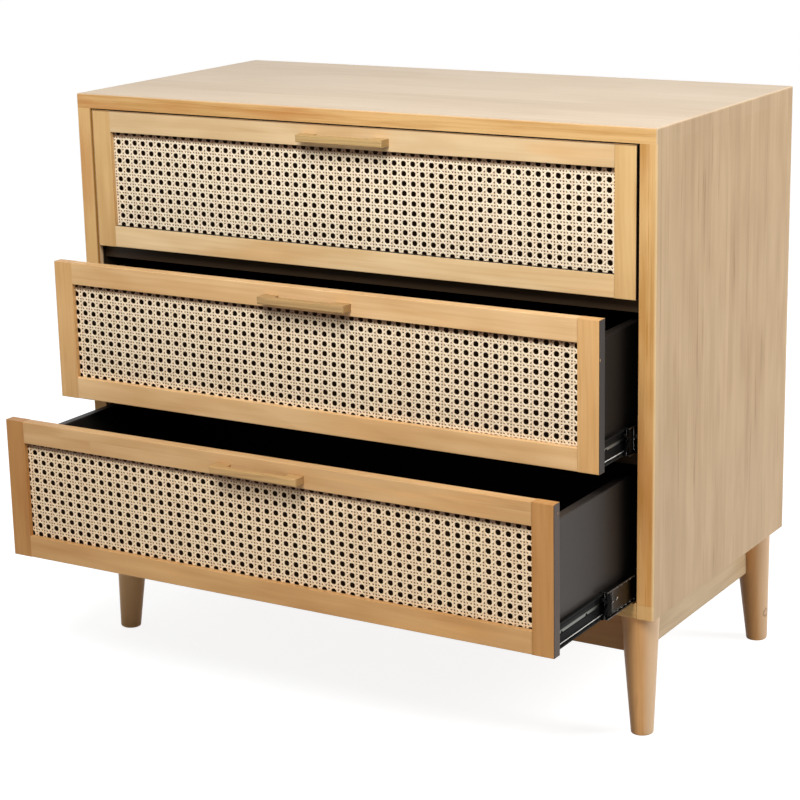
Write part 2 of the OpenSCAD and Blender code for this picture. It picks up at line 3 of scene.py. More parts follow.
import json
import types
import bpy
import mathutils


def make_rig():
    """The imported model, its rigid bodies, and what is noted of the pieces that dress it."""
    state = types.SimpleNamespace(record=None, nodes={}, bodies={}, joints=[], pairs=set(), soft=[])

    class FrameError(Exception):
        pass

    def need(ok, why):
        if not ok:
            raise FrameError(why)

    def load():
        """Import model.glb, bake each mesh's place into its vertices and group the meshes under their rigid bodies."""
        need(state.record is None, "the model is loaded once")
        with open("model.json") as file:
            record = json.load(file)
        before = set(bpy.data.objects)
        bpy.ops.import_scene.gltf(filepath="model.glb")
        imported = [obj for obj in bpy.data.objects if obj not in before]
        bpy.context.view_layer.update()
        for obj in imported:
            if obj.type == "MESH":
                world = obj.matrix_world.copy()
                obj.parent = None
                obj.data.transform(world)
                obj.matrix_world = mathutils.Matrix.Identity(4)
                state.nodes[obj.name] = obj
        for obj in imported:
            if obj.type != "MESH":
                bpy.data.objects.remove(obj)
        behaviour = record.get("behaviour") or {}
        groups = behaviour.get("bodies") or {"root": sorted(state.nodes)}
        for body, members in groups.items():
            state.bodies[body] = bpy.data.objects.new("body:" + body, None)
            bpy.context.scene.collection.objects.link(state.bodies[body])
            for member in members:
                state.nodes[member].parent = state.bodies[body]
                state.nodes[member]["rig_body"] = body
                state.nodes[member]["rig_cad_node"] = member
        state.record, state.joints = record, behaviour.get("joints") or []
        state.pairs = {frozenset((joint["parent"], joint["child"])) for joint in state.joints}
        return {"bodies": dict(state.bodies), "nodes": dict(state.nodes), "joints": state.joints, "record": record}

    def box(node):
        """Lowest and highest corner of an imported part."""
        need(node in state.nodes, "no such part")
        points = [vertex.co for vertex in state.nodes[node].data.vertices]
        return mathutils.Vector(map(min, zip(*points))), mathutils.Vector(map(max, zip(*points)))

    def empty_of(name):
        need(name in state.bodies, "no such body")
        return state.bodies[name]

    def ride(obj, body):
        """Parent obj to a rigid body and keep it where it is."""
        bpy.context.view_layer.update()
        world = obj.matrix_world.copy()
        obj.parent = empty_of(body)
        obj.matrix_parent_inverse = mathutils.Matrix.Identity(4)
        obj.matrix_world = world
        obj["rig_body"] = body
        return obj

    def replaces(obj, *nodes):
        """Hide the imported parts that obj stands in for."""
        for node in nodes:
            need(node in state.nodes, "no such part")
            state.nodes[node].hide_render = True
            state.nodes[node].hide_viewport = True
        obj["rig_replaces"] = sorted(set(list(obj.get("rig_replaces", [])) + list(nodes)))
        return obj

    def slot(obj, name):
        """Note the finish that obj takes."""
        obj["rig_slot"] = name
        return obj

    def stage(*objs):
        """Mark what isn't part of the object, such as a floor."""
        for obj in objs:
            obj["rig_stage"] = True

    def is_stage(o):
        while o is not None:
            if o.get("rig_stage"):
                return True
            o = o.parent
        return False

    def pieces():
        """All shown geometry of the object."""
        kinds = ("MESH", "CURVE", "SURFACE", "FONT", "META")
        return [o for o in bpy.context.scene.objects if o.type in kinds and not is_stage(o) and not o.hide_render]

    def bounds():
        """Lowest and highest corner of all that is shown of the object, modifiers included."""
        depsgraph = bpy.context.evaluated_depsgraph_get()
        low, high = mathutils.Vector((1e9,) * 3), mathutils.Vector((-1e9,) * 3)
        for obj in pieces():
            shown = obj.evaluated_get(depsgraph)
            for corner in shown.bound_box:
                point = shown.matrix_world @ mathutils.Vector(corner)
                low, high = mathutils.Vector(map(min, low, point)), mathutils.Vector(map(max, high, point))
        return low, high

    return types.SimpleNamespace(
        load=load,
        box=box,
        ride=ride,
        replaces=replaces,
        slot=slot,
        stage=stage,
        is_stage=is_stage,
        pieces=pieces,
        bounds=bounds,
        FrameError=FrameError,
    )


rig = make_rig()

bl_info = {
    "name": "Cane-front cabinet",
    "version": (1, 0, 0),
    "blender": (4, 5, 0),
    "location": "3D View > Sidebar > Cabinet",
    "description": "Gives a three-drawer cabinet its woven cane, runner fittings, finishes and stage",
    "category": "Object",
}

import json
import math

import bmesh
import bpy
from bpy.props import FloatProperty, FloatVectorProperty, PointerProperty
from mathutils import Matrix, Vector

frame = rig.load()
cad_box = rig.bounds()

SIZE_FILE = "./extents.json"
DRAWERS = ("top_drawer", "middle_drawer", "bottom_drawer")
MM = 0.001
WHITE = (1.0, 1.0, 1.0)

# How each panel's weave lies in its frame: right and up of the middle in millimetres, then the lean of its
# upright rows and the fall of its level rows
CANE_LAYS = {
    "top_drawer": (-0.4, -0.9, -0.010, -0.0017),
    "middle_drawer": (4.9, -2.2, 0.007, -0.0060),
    "bottom_drawer": (2.8, -1.0, -0.009, -0.0050),
}

# Colours of small painted details, in the scene's linear values. Some of them are painted light and shade, as said
# above each
# A thin dark line on the left edge's inner side, and the painted shadow along the top drawer's top edge
DARK_LINE_AND_SHADOW = (0.155, 0.056, 0.010)
RUST = (0.56, 0.23, 0.07)
WARM_PATCH = (0.86, 0.42, 0.12)
# Painted shade: the case's edges go deeper and more orange near the floor
LOW_SHADE_ORANGE = (0.70, 0.27, 0.05)
# The bare wood just inside the case's front, made lighter as painted light
LIT_BARE_MARGIN = (1.0, 0.66, 0.36)
BARE_RIM = (0.62, 0.26, 0.04)
# Painted highlight on the case's rounded outer edges
ARRIS_HIGHLIGHT = (0.80, 0.56, 0.27)
# Leg tints: painted light on outward faces and on the left legs, and painted shade on inward faces and the rear legs,
# whose colour also darkens the knot
LEG_PAINTED_LIGHT, LEG_SHADE_AND_KNOT, LEG_LEFT_PAINTED_LIGHT = (0.64, 0.47, 0.31), (0.30, 0.145, 0.056), (1.0, 0.61, 0.29)

# How far the wood inside the case stays bare before it goes dark
SIDE_MARGIN, BOTTOM_MARGIN, TOP_MARGIN = 10 * MM, 14 * MM, 2 * MM

# The knot in the rear right leg
KNOT_PLACE = (0.3924, 0.2779, 0.038)
KNOT_RADIUS = 4.8 * MM

# Thickness of the sheet that the runner members are pressed from
MEMBER_SHEET = 1.2 * MM

# Shares of the settings' colours for each drawer's wood, from the top drawer down. They differ from drawer to
# # drawer partly as painted light and shade, the lower drawers darker
# The end paint of the top and middle drawers is darker as painted shade
END_PAINT_SHADE_SHARES = (0.15, 0.2, 1.0)
STILE_SHARES = ((0.875, 0.80, 0.62), (0.87, 0.86, 0.76), (0.78, 0.65, 0.49))
RAIL_SHARES = {
    "top_rail": ((0.935, 0.975, 0.99), (0.915, 0.985, 1.02), (0.995, 1.035, 1.12)),
    "bottom_rail": ((1.09, 1.13, 1.12), (1.00, 1.06, 1.08), (0.97, 0.93, 0.88)),
}
HANDLE_SHARES = ((1.05, 1.08, 1.06), (0.93, 0.92, 0.92), (0.97, 0.91, 0.87))
# The front and rear aprons take the leg wood darkened as painted shade under the case
APRON_SHADE_SHARES = (0.437, 0.388, 0.31)

# Share of the paint and gloss of each drawer's box; the lower share of the top and middle boxes is painted shade
BOX_SHADE_AND_GLOSS = {"top_drawer": (0.3, 0.05), "middle_drawer": (0.3, 0.05), "bottom_drawer": (1.05, 0.12)}


def color_property(name, description, value):
    """A colour that the user may change, in the scene's linear values."""
    return FloatVectorProperty(
        name=name, description=description, default=value, subtype="COLOR", size=3, min=0.0, max=1.0
    )


def length_property(name, description, value, smallest=0.0):
    """A length in metres that the user may change."""
    return FloatProperty(
        name=name, description=description, default=value, min=smallest, subtype="DISTANCE", unit="LENGTH",
        precision=5,
    )


def power_property(name, description, value):
    """A lamp's power in watts that the user may change."""
    return FloatProperty(name=name, description=description, default=value, min=0.0, unit="POWER")


def turn_property(name, description, degrees):
    """A turn that the user may change."""
    return FloatProperty(name=name, description=description, default=math.radians(degrees), subtype="ANGLE")


class CabinetFinishes(bpy.types.PropertyGroup):
    """Colours of the cabinet's woods, paint, cane and steel."""

    # The three fronts differ partly as painted shade: the bottom drawer's is darker
    top_front: color_property("Top front", "Light grain of the top drawer's frame", (0.89, 0.64, 0.37))
    middle_front: color_property("Middle front", "Light grain of the middle drawer's frame", (0.92, 0.576, 0.288))
    bottom_front: color_property("Bottom front", "Light grain of the bottom drawer's frame", (0.69, 0.424, 0.19))
    edge_light: color_property("Case edges, light", "Light grain of the case's front edges", (0.74, 0.46, 0.19))
    edge_dark: color_property("Case edges, dark", "Dark grain of the case's front edges", (0.46, 0.21, 0.04))
    top_light: color_property("Top, light", "Light grain of the top", (0.69, 0.55, 0.395))
    top_dark: color_property("Top, dark", "Dark grain of the top", (0.56, 0.415, 0.27))
    side_light: color_property("Sides, light", "Light grain of the side panels", (0.575, 0.405, 0.235))
    side_dark: color_property("Sides, dark", "Dark grain of the side panels", (0.39, 0.25, 0.13))
    leg_light: color_property("Legs, light", "Light grain of the legs and aprons", (0.89, 0.485, 0.193))
    leg_dark: color_property("Legs, dark", "Dark grain of the legs and aprons", (0.60, 0.285, 0.095))
    handle_light: color_property("Handles, light", "Light grain of the handles", (0.61, 0.405, 0.175))
    handle_dark: color_property("Handles, dark", "Dark grain of the handles", (0.365, 0.215, 0.088))
    # The lower drawers' cane is darker, partly as painted shade
    cane_tones: FloatVectorProperty(
        name="Cane tones", description="How pale the top, middle and bottom drawers' cane is",
        default=(1.0, 0.94, 0.84), size=3, min=0.0, max=1.5,
    )
    cane_light: color_property("Cane, light", "Glossy skin of the cane strands", (0.985, 0.845, 0.635))
    # The dark cane colour also gives the painted shade where strands dip and under the top rail
    cane_dark: color_property("Cane, dark", "Fibres and edges of the cane strands", (0.585, 0.385, 0.215))
    paint: color_property("Dark paint", "Paint of the drawer boxes and the back", (0.032, 0.026, 0.022))
    divider_paint: color_property("Rail paint", "Paint of the rails and the case's inside", (0.042, 0.026, 0.014))
    backing: color_property("Board behind cane", "Paint of the board behind the cane", (0.026, 0.012, 0.005))
    steel: color_property("Coated steel", "Black coat of the runners", (0.015, 0.014, 0.013))
    web_steel: color_property("Drawer member steel", "Bare web of the drawers' members", (0.17, 0.17, 0.155))
    ball: color_property("Bright steel", "Balls and screws", (0.62, 0.62, 0.61))
    dowel: color_property("Dowels", "Bare wood of the dowels", (0.70, 0.55, 0.36))


class CabinetWeave(bpy.types.PropertyGroup):
    """Sizes of the woven cane."""

    pitch_across: length_property("Pitch across", "Distance between two holes side by side", 12.62 * MM, MM)
    pitch_up: length_property("Pitch up", "Distance between two holes one above the other", 11.65 * MM, MM)
    upright_width: length_property("Upright width", "Width of the upright strands", 2.45 * MM, 0.1 * MM)
    level_width: length_property("Level width", "Width of the level strands", 2.0 * MM, 0.1 * MM)
    slit: length_property("Slit", "Gap between the two strands of a pair", 1.5 * MM, 0.1 * MM)
    diagonal_width: length_property("Diagonal width", "Width of the diagonal strands", 1.9 * MM, 0.1 * MM)
    bow: length_property("Bow", "How far the rows of the weave bow out of line", 0.35 * MM)
    strand_height: length_property("Strand height", "Height of a strand's crown", 0.34 * MM, 0.05 * MM)
    lift: length_property("Lift", "How far a strand rises and dips where strands cross", 0.3 * MM)
    tuck: length_property("Tuck", "How far the cane runs behind its frame", 6.5 * MM)


class CabinetRunners(bpy.types.PropertyGroup):
    """Sizes of the fittings in the drawer runners."""

    ball_diameter: length_property("Ball diameter", "Diameter of a runner's balls", 2.6 * MM, MM)
    ball_pitch: length_property("Ball pitch", "Distance between two balls", 11.0 * MM, MM)
    cage_length: length_property("Cage length", "Length of a ball cage", 120 * MM, MM)
    cage_start: length_property("Cage start", "Distance of the cage from the middle member's front end", 17 * MM)
    lower_track: length_property("Lower track", "Height of the lower track in the drawer's member", 13.5 * MM)
    upper_track: length_property("Upper track", "Height of the upper track in the drawer's member", 7.0 * MM)
    track_line: length_property("Track line", "Height of the bright line above the member's edge", 3.0 * MM)
    lever_length: length_property("Lever length", "Reach of the lever out of the middle member", 12.0 * MM)
    stop_length: length_property("Stop length", "Length of the stop at the middle member's front", 9 * MM, MM)


class CabinetStage(bpy.types.PropertyGroup):
    """Floor, lamps and camera."""

    world_level: FloatProperty(name="World level", description="Light from all round", default=0.17, min=0.0)
    key_power: power_property("Key lamp", "Lamp in front of the cabinet", 45.5)
    side_power: power_property("Side lamp", "Lamp on the cabinet's right", 57.0)
    top_power: power_property("Top lamp", "Lamp above the cabinet", 6.0)
    lens: FloatProperty(
        name="Lens", description="Focal length of the camera", default=100.68, min=1.0, subtype="DISTANCE_CAMERA"
    )
    camera_yaw: turn_property("Camera yaw", "Turn of the camera about the upright axis", 31.39)
    camera_pitch: turn_property("Camera pitch", "How far the camera looks down", 14.98)
    camera_roll: turn_property("Camera roll", "Turn of the camera about its own line of sight", -1.22)
    camera_place: FloatVectorProperty(
        name="Camera place", description="Where the camera stands", default=(1.40994, -2.28937, 1.06113),
        subtype="TRANSLATION", unit="LENGTH",
    )


def shaded(color, shares):
    """A colour with each of its three numbers multiplied by its own share."""
    return [part * share for part, share in zip(color, shares)]


def scaled(color, factor):
    """A colour made darker or lighter as a whole, but never lighter than white."""
    return [min(1.0, part * factor) for part in color]


# Node trees


class Value:
    """A number, colour or vector in a node tree. A sum on values adds the nodes that work it out."""

    def __init__(self, tree, socket):
        self.tree, self.socket = tree, socket

    def __add__(self, other):
        return calc("ADD", self, other)

    def __sub__(self, other):
        return calc("SUBTRACT", self, other)

    def __rsub__(self, other):
        return calc("SUBTRACT", other, self)

    def __mul__(self, other):
        return calc("MULTIPLY", self, other)

    def __truediv__(self, other):
        return calc("DIVIDE", self, other)

    def __neg__(self):
        return calc("MULTIPLY", self, -1.0)

    def __abs__(self):
        return calc("ABSOLUTE", self)


class Outputs:
    """A node's outputs, by number or by name."""

    def __init__(self, tree, node):
        self.tree, self.sockets = tree, node.outputs

    def __getitem__(self, key):
        return Value(self.tree, self.sockets[key])

    def __iter__(self):
        return (Value(self.tree, socket) for socket in self.sockets)


def fill(tree, node, inputs):
    """Links a node's inputs to values, and sets the others on the sockets themselves."""
    for key, value in inputs.items():
        socket = node.inputs[key]
        if isinstance(value, Value):
            tree.links.new(value.socket, socket)
        elif socket.type == "RGBA":
            socket.default_value = (*value, 1.0)
        else:
            socket.default_value = value


def add_node(tree, kind, inputs=None, **settings):
    """Adds a node with its settings and inputs; gives its outputs."""
    node = tree.nodes.new(kind)
    for name, value in settings.items():
        setattr(node, name, value)
    fill(tree, node, inputs or {})
    return Outputs(tree, node)


def tree_of(*values):
    """The node tree in which the values stand."""
    return next(value.tree for value in values if isinstance(value, Value))


def calc(operation, *values, clamp=False):
    """The result of one sum on numbers and values."""
    inputs = dict(enumerate(values))
    return add_node(tree_of(*values), "ShaderNodeMath", inputs, operation=operation, use_clamp=clamp)[0]


def ramp(value, low, high, start=0.0, end=1.0):
    """value, spread smoothly from low..high to start..end."""
    inputs = {"Value": value, "From Min": low, "From Max": high, "To Min": start, "To Max": end}
    return add_node(value.tree, "ShaderNodeMapRange", inputs, interpolation_type="SMOOTHSTEP")["Result"]


def mix(a, b, share, clamp=True):
    """Colour a, going over to b by share."""
    tree = tree_of(a, b, share)
    return add_node(tree, "ShaderNodeMix", {6: a, 7: b, 0: share}, data_type="RGBA", clamp_factor=clamp)[2]


def split(vector):
    """The three numbers of a vector."""
    return add_node(vector.tree, "ShaderNodeSeparateXYZ", {0: vector})


def join(x, y, z):
    """A vector of three numbers."""
    return add_node(tree_of(x, y, z), "ShaderNodeCombineXYZ", {0: x, 1: y, 2: z})[0]


def vector_sum(operation, a, b):
    """The outputs of one sum on vectors."""
    return add_node(tree_of(a, b), "ShaderNodeVectorMath", {0: a, 1: b}, operation=operation)


def noise(vector, scale, detail=3.0, roughness=0.55):
    """Noise from 0 to 1 with its own scale along each axis."""
    placed = vector_sum("MULTIPLY", vector, scale)[0]
    inputs = {"Vector": placed, "Scale": 1.0, "Detail": detail, "Roughness": roughness}
    return add_node(vector.tree, "ShaderNodeTexNoise", inputs)[0]


def piece_place(tree):
    """The place on the piece, in metres of the shared frame."""
    return add_node(tree, "ShaderNodeTexCoord")["Object"]


def facing(tree):
    """Which way a face looks, as three numbers."""
    return split(add_node(tree, "ShaderNodeNewGeometry")["Normal"])


def seen(tree):
    """1 where the camera or a reflection looks, and 0 where light only passes on."""
    path = add_node(tree, "ShaderNodeLightPath")
    mirrored = calc("MAXIMUM", path["Is Glossy Ray"], path["Is Transmission Ray"])
    return calc("MAXIMUM", path["Is Camera Ray"], mirrored)


def new_group(name, inputs, outputs):
    """A shader node group with named sockets; gives the group, its inputs as values and its output node."""
    kinds = {type(None): "NodeSocketVector", float: "NodeSocketFloat", tuple: "NodeSocketColor"}
    group = bpy.data.node_groups.new(name, "ShaderNodeTree")
    for label, value in inputs.items():
        socket = group.interface.new_socket(name=label, in_out="INPUT", socket_type=kinds[type(value)])
        if value is not None:
            socket.default_value = value
    for label, kind in outputs.items():
        group.interface.new_socket(name=label, in_out="OUTPUT", socket_type=f"NodeSocket{kind}")
    return group, add_node(group, "NodeGroupInput"), group.nodes.new("NodeGroupOutput")


def build_plank_grain(name):
    """Boards glued side by side, each with its own tone and growth rings; grain runs along X."""
    group, start, end = new_group(
        name,
        {
            "Vector": None, "Light": (0.8, 0.6, 0.4, 1.0), "Dark": (0.5, 0.3, 0.2, 1.0), "Warm": (0.7, 0.4, 0.2, 1.0),
            "Warm Share": 0.35, "Board Width": 0.2, "Board Length": 30.0, "Board Contrast": 0.15,
            "Ring Spacing": 0.006, "Ring Contrast": 0.15, "Streak Contrast": 0.5, "Seam Contrast": 0.15,
            "Slant": 0.03, "Line Contrast": 0.25, "Mottle Contrast": 0.3,
        },
        {"Color": "Color", "Height": "Float", "Tone": "Float", "Glow": "Float"},
    )
    x, y, z = split(start["Vector"])
    across = y / start["Board Width"]
    row = calc("FLOOR", across)
    shift = add_node(group, "ShaderNodeTexWhiteNoise", {"W": row}, noise_dimensions="1D")[0]
    along = x / start["Board Length"] + shift
    label = join(row, calc("FLOOR", along), 0.5)
    chance = add_node(group, "ShaderNodeTexWhiteNoise", {"Vector": label}, noise_dimensions="3D")
    first, second, third = split(chance["Color"])

    # Growth rings round a heart that lies at another place in each board
    in_board = (calc("FRACT", across) - 0.5) * start["Board Width"]
    warp = noise(start["Vector"], (5.0, 22.0, 22.0), 2.0) - 0.5
    drift = x * ((second - 0.5) * start["Slant"])
    ring_y = in_board - (first - 0.5) * 0.11 + (drift + warp * 0.016)
    rise = x * ((third - 0.5) * (start["Slant"] * 2.0))
    ring_z = z + rise + (third * 0.05 + 0.012)
    reach = calc("SQRT", ring_y * ring_y + ring_z * ring_z)
    ring = calc("FRACT", reach / start["Ring Spacing"])
    late_wood = ramp(ring, 0.35, 0.9) * ramp(ring, 1.0, 0.93)

    # Joints between the boards
    edge = abs(calc("FRACT", across) - 0.5)
    seam = ramp((0.5 - edge) * start["Board Width"], 0.7 * MM, 0.1 * MM)
    joint = abs(calc("FRACT", along) - 0.5)
    butt = ramp((0.5 - joint) * start["Board Length"], 0.6 * MM, 0.1 * MM)
    joints = calc("MAXIMUM", seam, butt)

    # Streaks, fibres, clouds and fine lines, each stretched along the grain
    apart = vector_sum("ADD", start["Vector"], label)[0]
    streak = noise(apart, (3.5, 150.0, 150.0), 4.0, 0.6)
    fibre = noise(apart, (28.0, 1300.0, 1300.0), 2.0, 0.5)
    cloud = noise(apart, (2.2, 9.0, 9.0), 2.0, 0.5)
    mottle = noise(apart, (11.0, 42.0, 42.0), 1.0, 0.4)
    level = noise(apart, (1.3, 62.0, 62.0), 2.0, 0.4)
    strength = ramp(noise(apart, (9.0, 60.0, 60.0), 2.0), 0.42, 0.68)
    fine_line = ramp(abs(level - 0.5), 0.016, 0.0) * strength

    tone = (chance["Value"] - 0.5) * start["Board Contrast"] + 0.45
    tone = tone + (late_wood - 0.25) * start["Ring Contrast"]
    tone = tone + (streak - 0.5) * start["Streak Contrast"]
    tone = tone + (fibre - 0.5) * (start["Streak Contrast"] * 0.45)
    tone = tone + (cloud - 0.5) * start["Streak Contrast"]
    tone = tone + (mottle - 0.5) * start["Mottle Contrast"]
    tone = tone + joints * start["Seam Contrast"] + fine_line * start["Line Contrast"]
    tone = calc("MINIMUM", calc("MAXIMUM", tone, 0.0), 1.3)
    glow = ramp(noise(apart, (4.5, 26.0, 26.0), 3.0, 0.6), 0.52, 0.78)
    ground = mix(start["Light"], start["Warm"], glow * start["Warm Share"])
    color = mix(ground, start["Dark"], tone, clamp=False)
    height = fibre * 0.5 + streak * 0.35 - calc("MAXIMUM", joints, late_wood * 0.25) * 0.5
    fill(group, end, {"Color": color, "Height": height, "Tone": tone, "Glow": glow})
    return group


def build_worn_and_lit_edges(name):
    """Finds the edges of a piece, rounded by hand and rubbed by use."""
    inputs = {"Vector": None, "Radius": 0.0012, "Raggedness": 0.6}
    group, start, end = new_group(name, inputs, {"Mask": "Float", "Normal": "Vector"})
    bevel = add_node(group, "ShaderNodeBevel", {"Radius": start["Radius"]}, samples=4)[0]
    plain = add_node(group, "ShaderNodeNewGeometry")["Normal"]
    bend = 1.0 - vector_sum("DOT_PRODUCT", bevel, plain)["Value"]
    ragged = (noise(start["Vector"], (160.0, 160.0, 160.0), 3.0) - 0.5) * start["Raggedness"]
    fill(group, end, {"Mask": ramp(bend + ragged * bend, 0.01, 0.16), "Normal": bevel})
    return group


def build_rounded_edges(name):
    """Finds the parts of a piece that are really rounded: their faces look along none of the three axes."""
    group, start, end = new_group(name, {"Vector": None, "Raggedness": 0.6}, {"Mask": "Float"})
    sizes = [abs(axis) for axis in facing(group)]
    most = calc("MAXIMUM", sizes[0], calc("MAXIMUM", sizes[1], sizes[2]))
    share = (noise(start["Vector"], (120.0, 120.0, 40.0), 3.0) - 0.5) * start["Raggedness"] + 1.0
    fill(group, end, {"Mask": calc("MULTIPLY", ramp(1.0 - most, 0.01, 0.16), share, clamp=True)})
    return group


def build_satin_coat(name):
    """A brushed-on coat: faint brush marks, and gloss that changes a little from place to place."""
    inputs = {"Vector": None, "Roughness": 0.4, "Change": 0.2, "Grit": 0.7}
    group, start, end = new_group(name, inputs, {"Roughness": "Float", "Height": "Float", "Mottle": "Float"})
    broad = noise(start["Vector"], (7.0, 7.0, 7.0), 3.0)
    grit = noise(start["Vector"], (900.0, 900.0, 900.0), 2.0)
    rough = (broad - 0.5) * start["Change"] + start["Roughness"]
    rough = (grit - 0.5) * (start["Change"] * start["Grit"]) + rough
    fill(group, end, {"Roughness": rough, "Height": grit, "Mottle": broad})
    return group


GROUP_BUILDERS = {
    "Plank grain": build_plank_grain,
    "Worn edges": build_worn_and_lit_edges,
    "Rounded edges": build_rounded_edges,
    "Satin coat": build_satin_coat,
}


def use_group(name, vector, **values):
    """Places a group, built the first time it is asked for; each value goes to the input of its name."""
    group = bpy.data.node_groups.get(name) or GROUP_BUILDERS[name](name)
    inputs = {label.replace("_", " ").title(): value for label, value in values.items()}
    return add_node(vector.tree, "ShaderNodeGroup", {"Vector": vector, **inputs}, node_tree=group)


# Materials. Wood, paint, steel, cane and floor get the place on the piece, and give the Principled shader's inputs


def along_grain(place, order, seed):
    """The place with its grain axis first; order names the axes, such as "zyx", and seed picks the boards."""
    axes = dict(zip("xyz", split(place)))
    return join(*(axes[axis] + seed * step for axis, step in zip(order, (0.37, 0.0, 0.013))))


def bump(height, strength, distance, normal=None):
    """The normal of a fine relief."""
    inputs = {"Height": height, "Strength": strength, "Distance": distance}
    if normal is not None:
        inputs["Normal"] = normal
    return add_node(height.tree, "ShaderNodeBump", inputs)[0]


def plank_grain(run, light, dark, **grain):
    """The grain of one kind of wood. run is the place along the grain, and grain holds the group's other values."""
    warm = [a * 0.55 + b * 0.45 for a, b in zip(light, WARM_PATCH)]
    return use_group("Plank grain", run, light=light, dark=dark, warm=warm, **grain)


def wood(place, light, dark, order, seed, roughness=0.42, edge_radius=1.2 * MM, rub=0.28, tint=None, **grain):
    """Lacquered wood. tint is a function that repaints some faces: it gets the place and the planks.

    With an edge radius of 0 only the edges that are really rounded are rubbed, so that flush joints stay unseen.
    """
    run = along_grain(place, order, seed)
    planks = plank_grain(run, light, dark, **grain)
    if edge_radius:
        edges = use_group("Worn edges", place, radius=edge_radius)
        normal = edges["Normal"]
    else:
        edges, normal = use_group("Rounded edges", place), None
    coat = use_group("Satin coat", run, roughness=roughness, change=0.14, grit=0.6)
    color = tint(place, planks) if tint else planks["Color"]
    return {
        # Edges lighter as painted highlight
        "Base Color": mix(color, scaled(light, 1.22), edges["Mask"] * rub),
        "Roughness": coat["Roughness"],
        "Normal": bump(planks["Height"], 0.3, 0.4 * MM, normal),
        "Specular IOR Level": 0.22,
    }


def painted(place, color, roughness=0.45, gloss=0.5, rub=0.5, fade=None):
    """Board painted dark, with a faint mottle, and paler where its edges are rubbed.

    fade holds two places along Y, between which the paint goes over to nearly black.
    """
    coat = use_group("Satin coat", place, roughness=roughness, grit=0.8)
    edges = use_group("Worn edges", place, raggedness=1.6)
    paint = mix(scaled(color, 0.82), [part * 1.6 + 0.001 for part in color], coat["Mottle"])
    # Edges paler as rubbed wear and painted highlight
    paint = mix(paint, [part * 2.4 + 0.02 for part in color], edges["Mask"] * rub)
    # Painted shade towards the back
    if fade:
        inputs = {"Value": split(place)[1], "From Min": fade[0], "From Max": fade[1]}
        deep = add_node(place.tree, "ShaderNodeMapRange", inputs)["Result"]
        paint = mix(paint, scaled(color, 0.05), deep * 0.95)
    return {
        "Base Color": paint,
        "Roughness": coat["Roughness"],
        "Normal": bump(coat["Height"], 0.25, 0.2 * MM, edges["Normal"]),
        "Specular IOR Level": gloss,
    }


def metal(place, color, roughness):
    """Pressed steel with fine scratches along it, and brighter where its edges are rubbed."""
    coat = use_group("Satin coat", place, roughness=roughness)
    edges = use_group("Worn edges", place, radius=0.5 * MM, raggedness=1.2)
    scratches = noise(place, (900.0, 14.0, 900.0))
    marked = mix(scaled(color, 0.78), scaled(color, 1.25), scratches)
    # Edges brighter as painted highlight
    return {
        "Base Color": mix(marked, (0.8, 0.8, 0.77), edges["Mask"] * 0.4),
        "Roughness": coat["Roughness"],
        "Metallic": 1.0,
        "Normal": bump(scratches, 0.12, 0.1 * MM, edges["Normal"]),
    }


def member_steel(place, web, low, high):
    """A drawer's runner member: black tracks and a bare grey web between them."""
    half = (high - low) / 2
    off_middle = abs(split(place)[2] - (low + high) / 2)
    bare = ramp(abs(facing(place.tree)[0]), 0.6, 0.9) * ramp(off_middle, half - 11.0 * MM, half - 12.0 * MM)
    scratches = noise(place, (900.0, 24.0, 900.0))
    grey = mix(scaled(web, 0.75), scaled(web, 1.25), scratches)
    return {
        "Base Color": mix((0.008, 0.008, 0.007), grey, bare),
        "Roughness": use_group("Satin coat", place, roughness=0.42)["Roughness"],
        "Metallic": bare,
        "Normal": bump(scratches, 0.12, 0.1 * MM),
        "Specular IOR Level": 0.04,
    }


def track_steel(place, line, width):
    """A rolled track: black, with a bright line where the balls have worn its coat away."""
    coat = use_group("Satin coat", place, roughness=0.5)
    # Painted highlight: a bright line at the given height
    off_line = noise(place, (900.0, 60.0, 900.0)) * (0.3 * MM) + abs(split(place)[2] - line)
    bright = ramp(off_line, width / 2 + 0.25 * MM, width / 2)
    return {
        "Base Color": mix((0.004, 0.004, 0.004), (0.75, 0.74, 0.70), bright),
        "Roughness": coat["Roughness"],
        "Metallic": bright * 0.6,
        "Normal": bump(coat["Height"], 0.2, 0.1 * MM),
        "Specular IOR Level": 0.04,
    }


def split_cane(place, light, dark, face, top):
    """Split cane with fibres along each strand, darker at its edges, where it dips and under the top rail.

    face is the weave's middle along Y, and top the height of the top rail's lower edge.
    """
    tree = place.tree
    strand = add_node(tree, "ShaderNodeAttribute", attribute_name="strand", attribute_type="GEOMETRY")["Vector"]
    along, across, number = split(strand)
    x, y, z = split(place)
    fibres = noise(join(along * 0.06, across, number), (1000.0, 1.6, 3.1), 3.0, 0.6)
    blotches = noise(join(along, 0.0, number), (45.0, 1.0, 7.3), 2.0)
    chance = add_node(tree, "ShaderNodeTexWhiteNoise", {"W": number}, noise_dimensions="1D")[0]
    kind = ramp(calc("FRACT", number), 0.1, 0.4, 0.14, -0.30)
    # Painted shade where a strand dips under another
    dip_shade = ramp(y, face - 0.6 * MM, face + 0.15 * MM)
    # Darker rims, partly painted shade between the strands
    rim_and_shade = ramp(abs(across), 0.45, 0.95)
    tone = (fibres - 0.5) * 0.5 + (blotches - 0.5) * 0.5 + (chance - 0.5) * 0.35 + kind + dip_shade * 0.28 + rim_and_shade * 0.5
    # Painted shadow under the top rail
    under_rail_shadow = ramp(z, top - 8.5 * MM, top - 5.0 * MM) * 0.85
    coat = use_group("Satin coat", place, roughness=0.38, change=0.18, grit=0.5)
    return {
        "Base Color": mix(mix(light, dark, tone), shaded(dark, (0.31, 0.19, 0.11)), under_rail_shadow),
        "Roughness": coat["Roughness"],
        "Normal": bump(fibres, 0.3, 0.1 * MM),
        "Specular IOR Level": 0.3,
    }


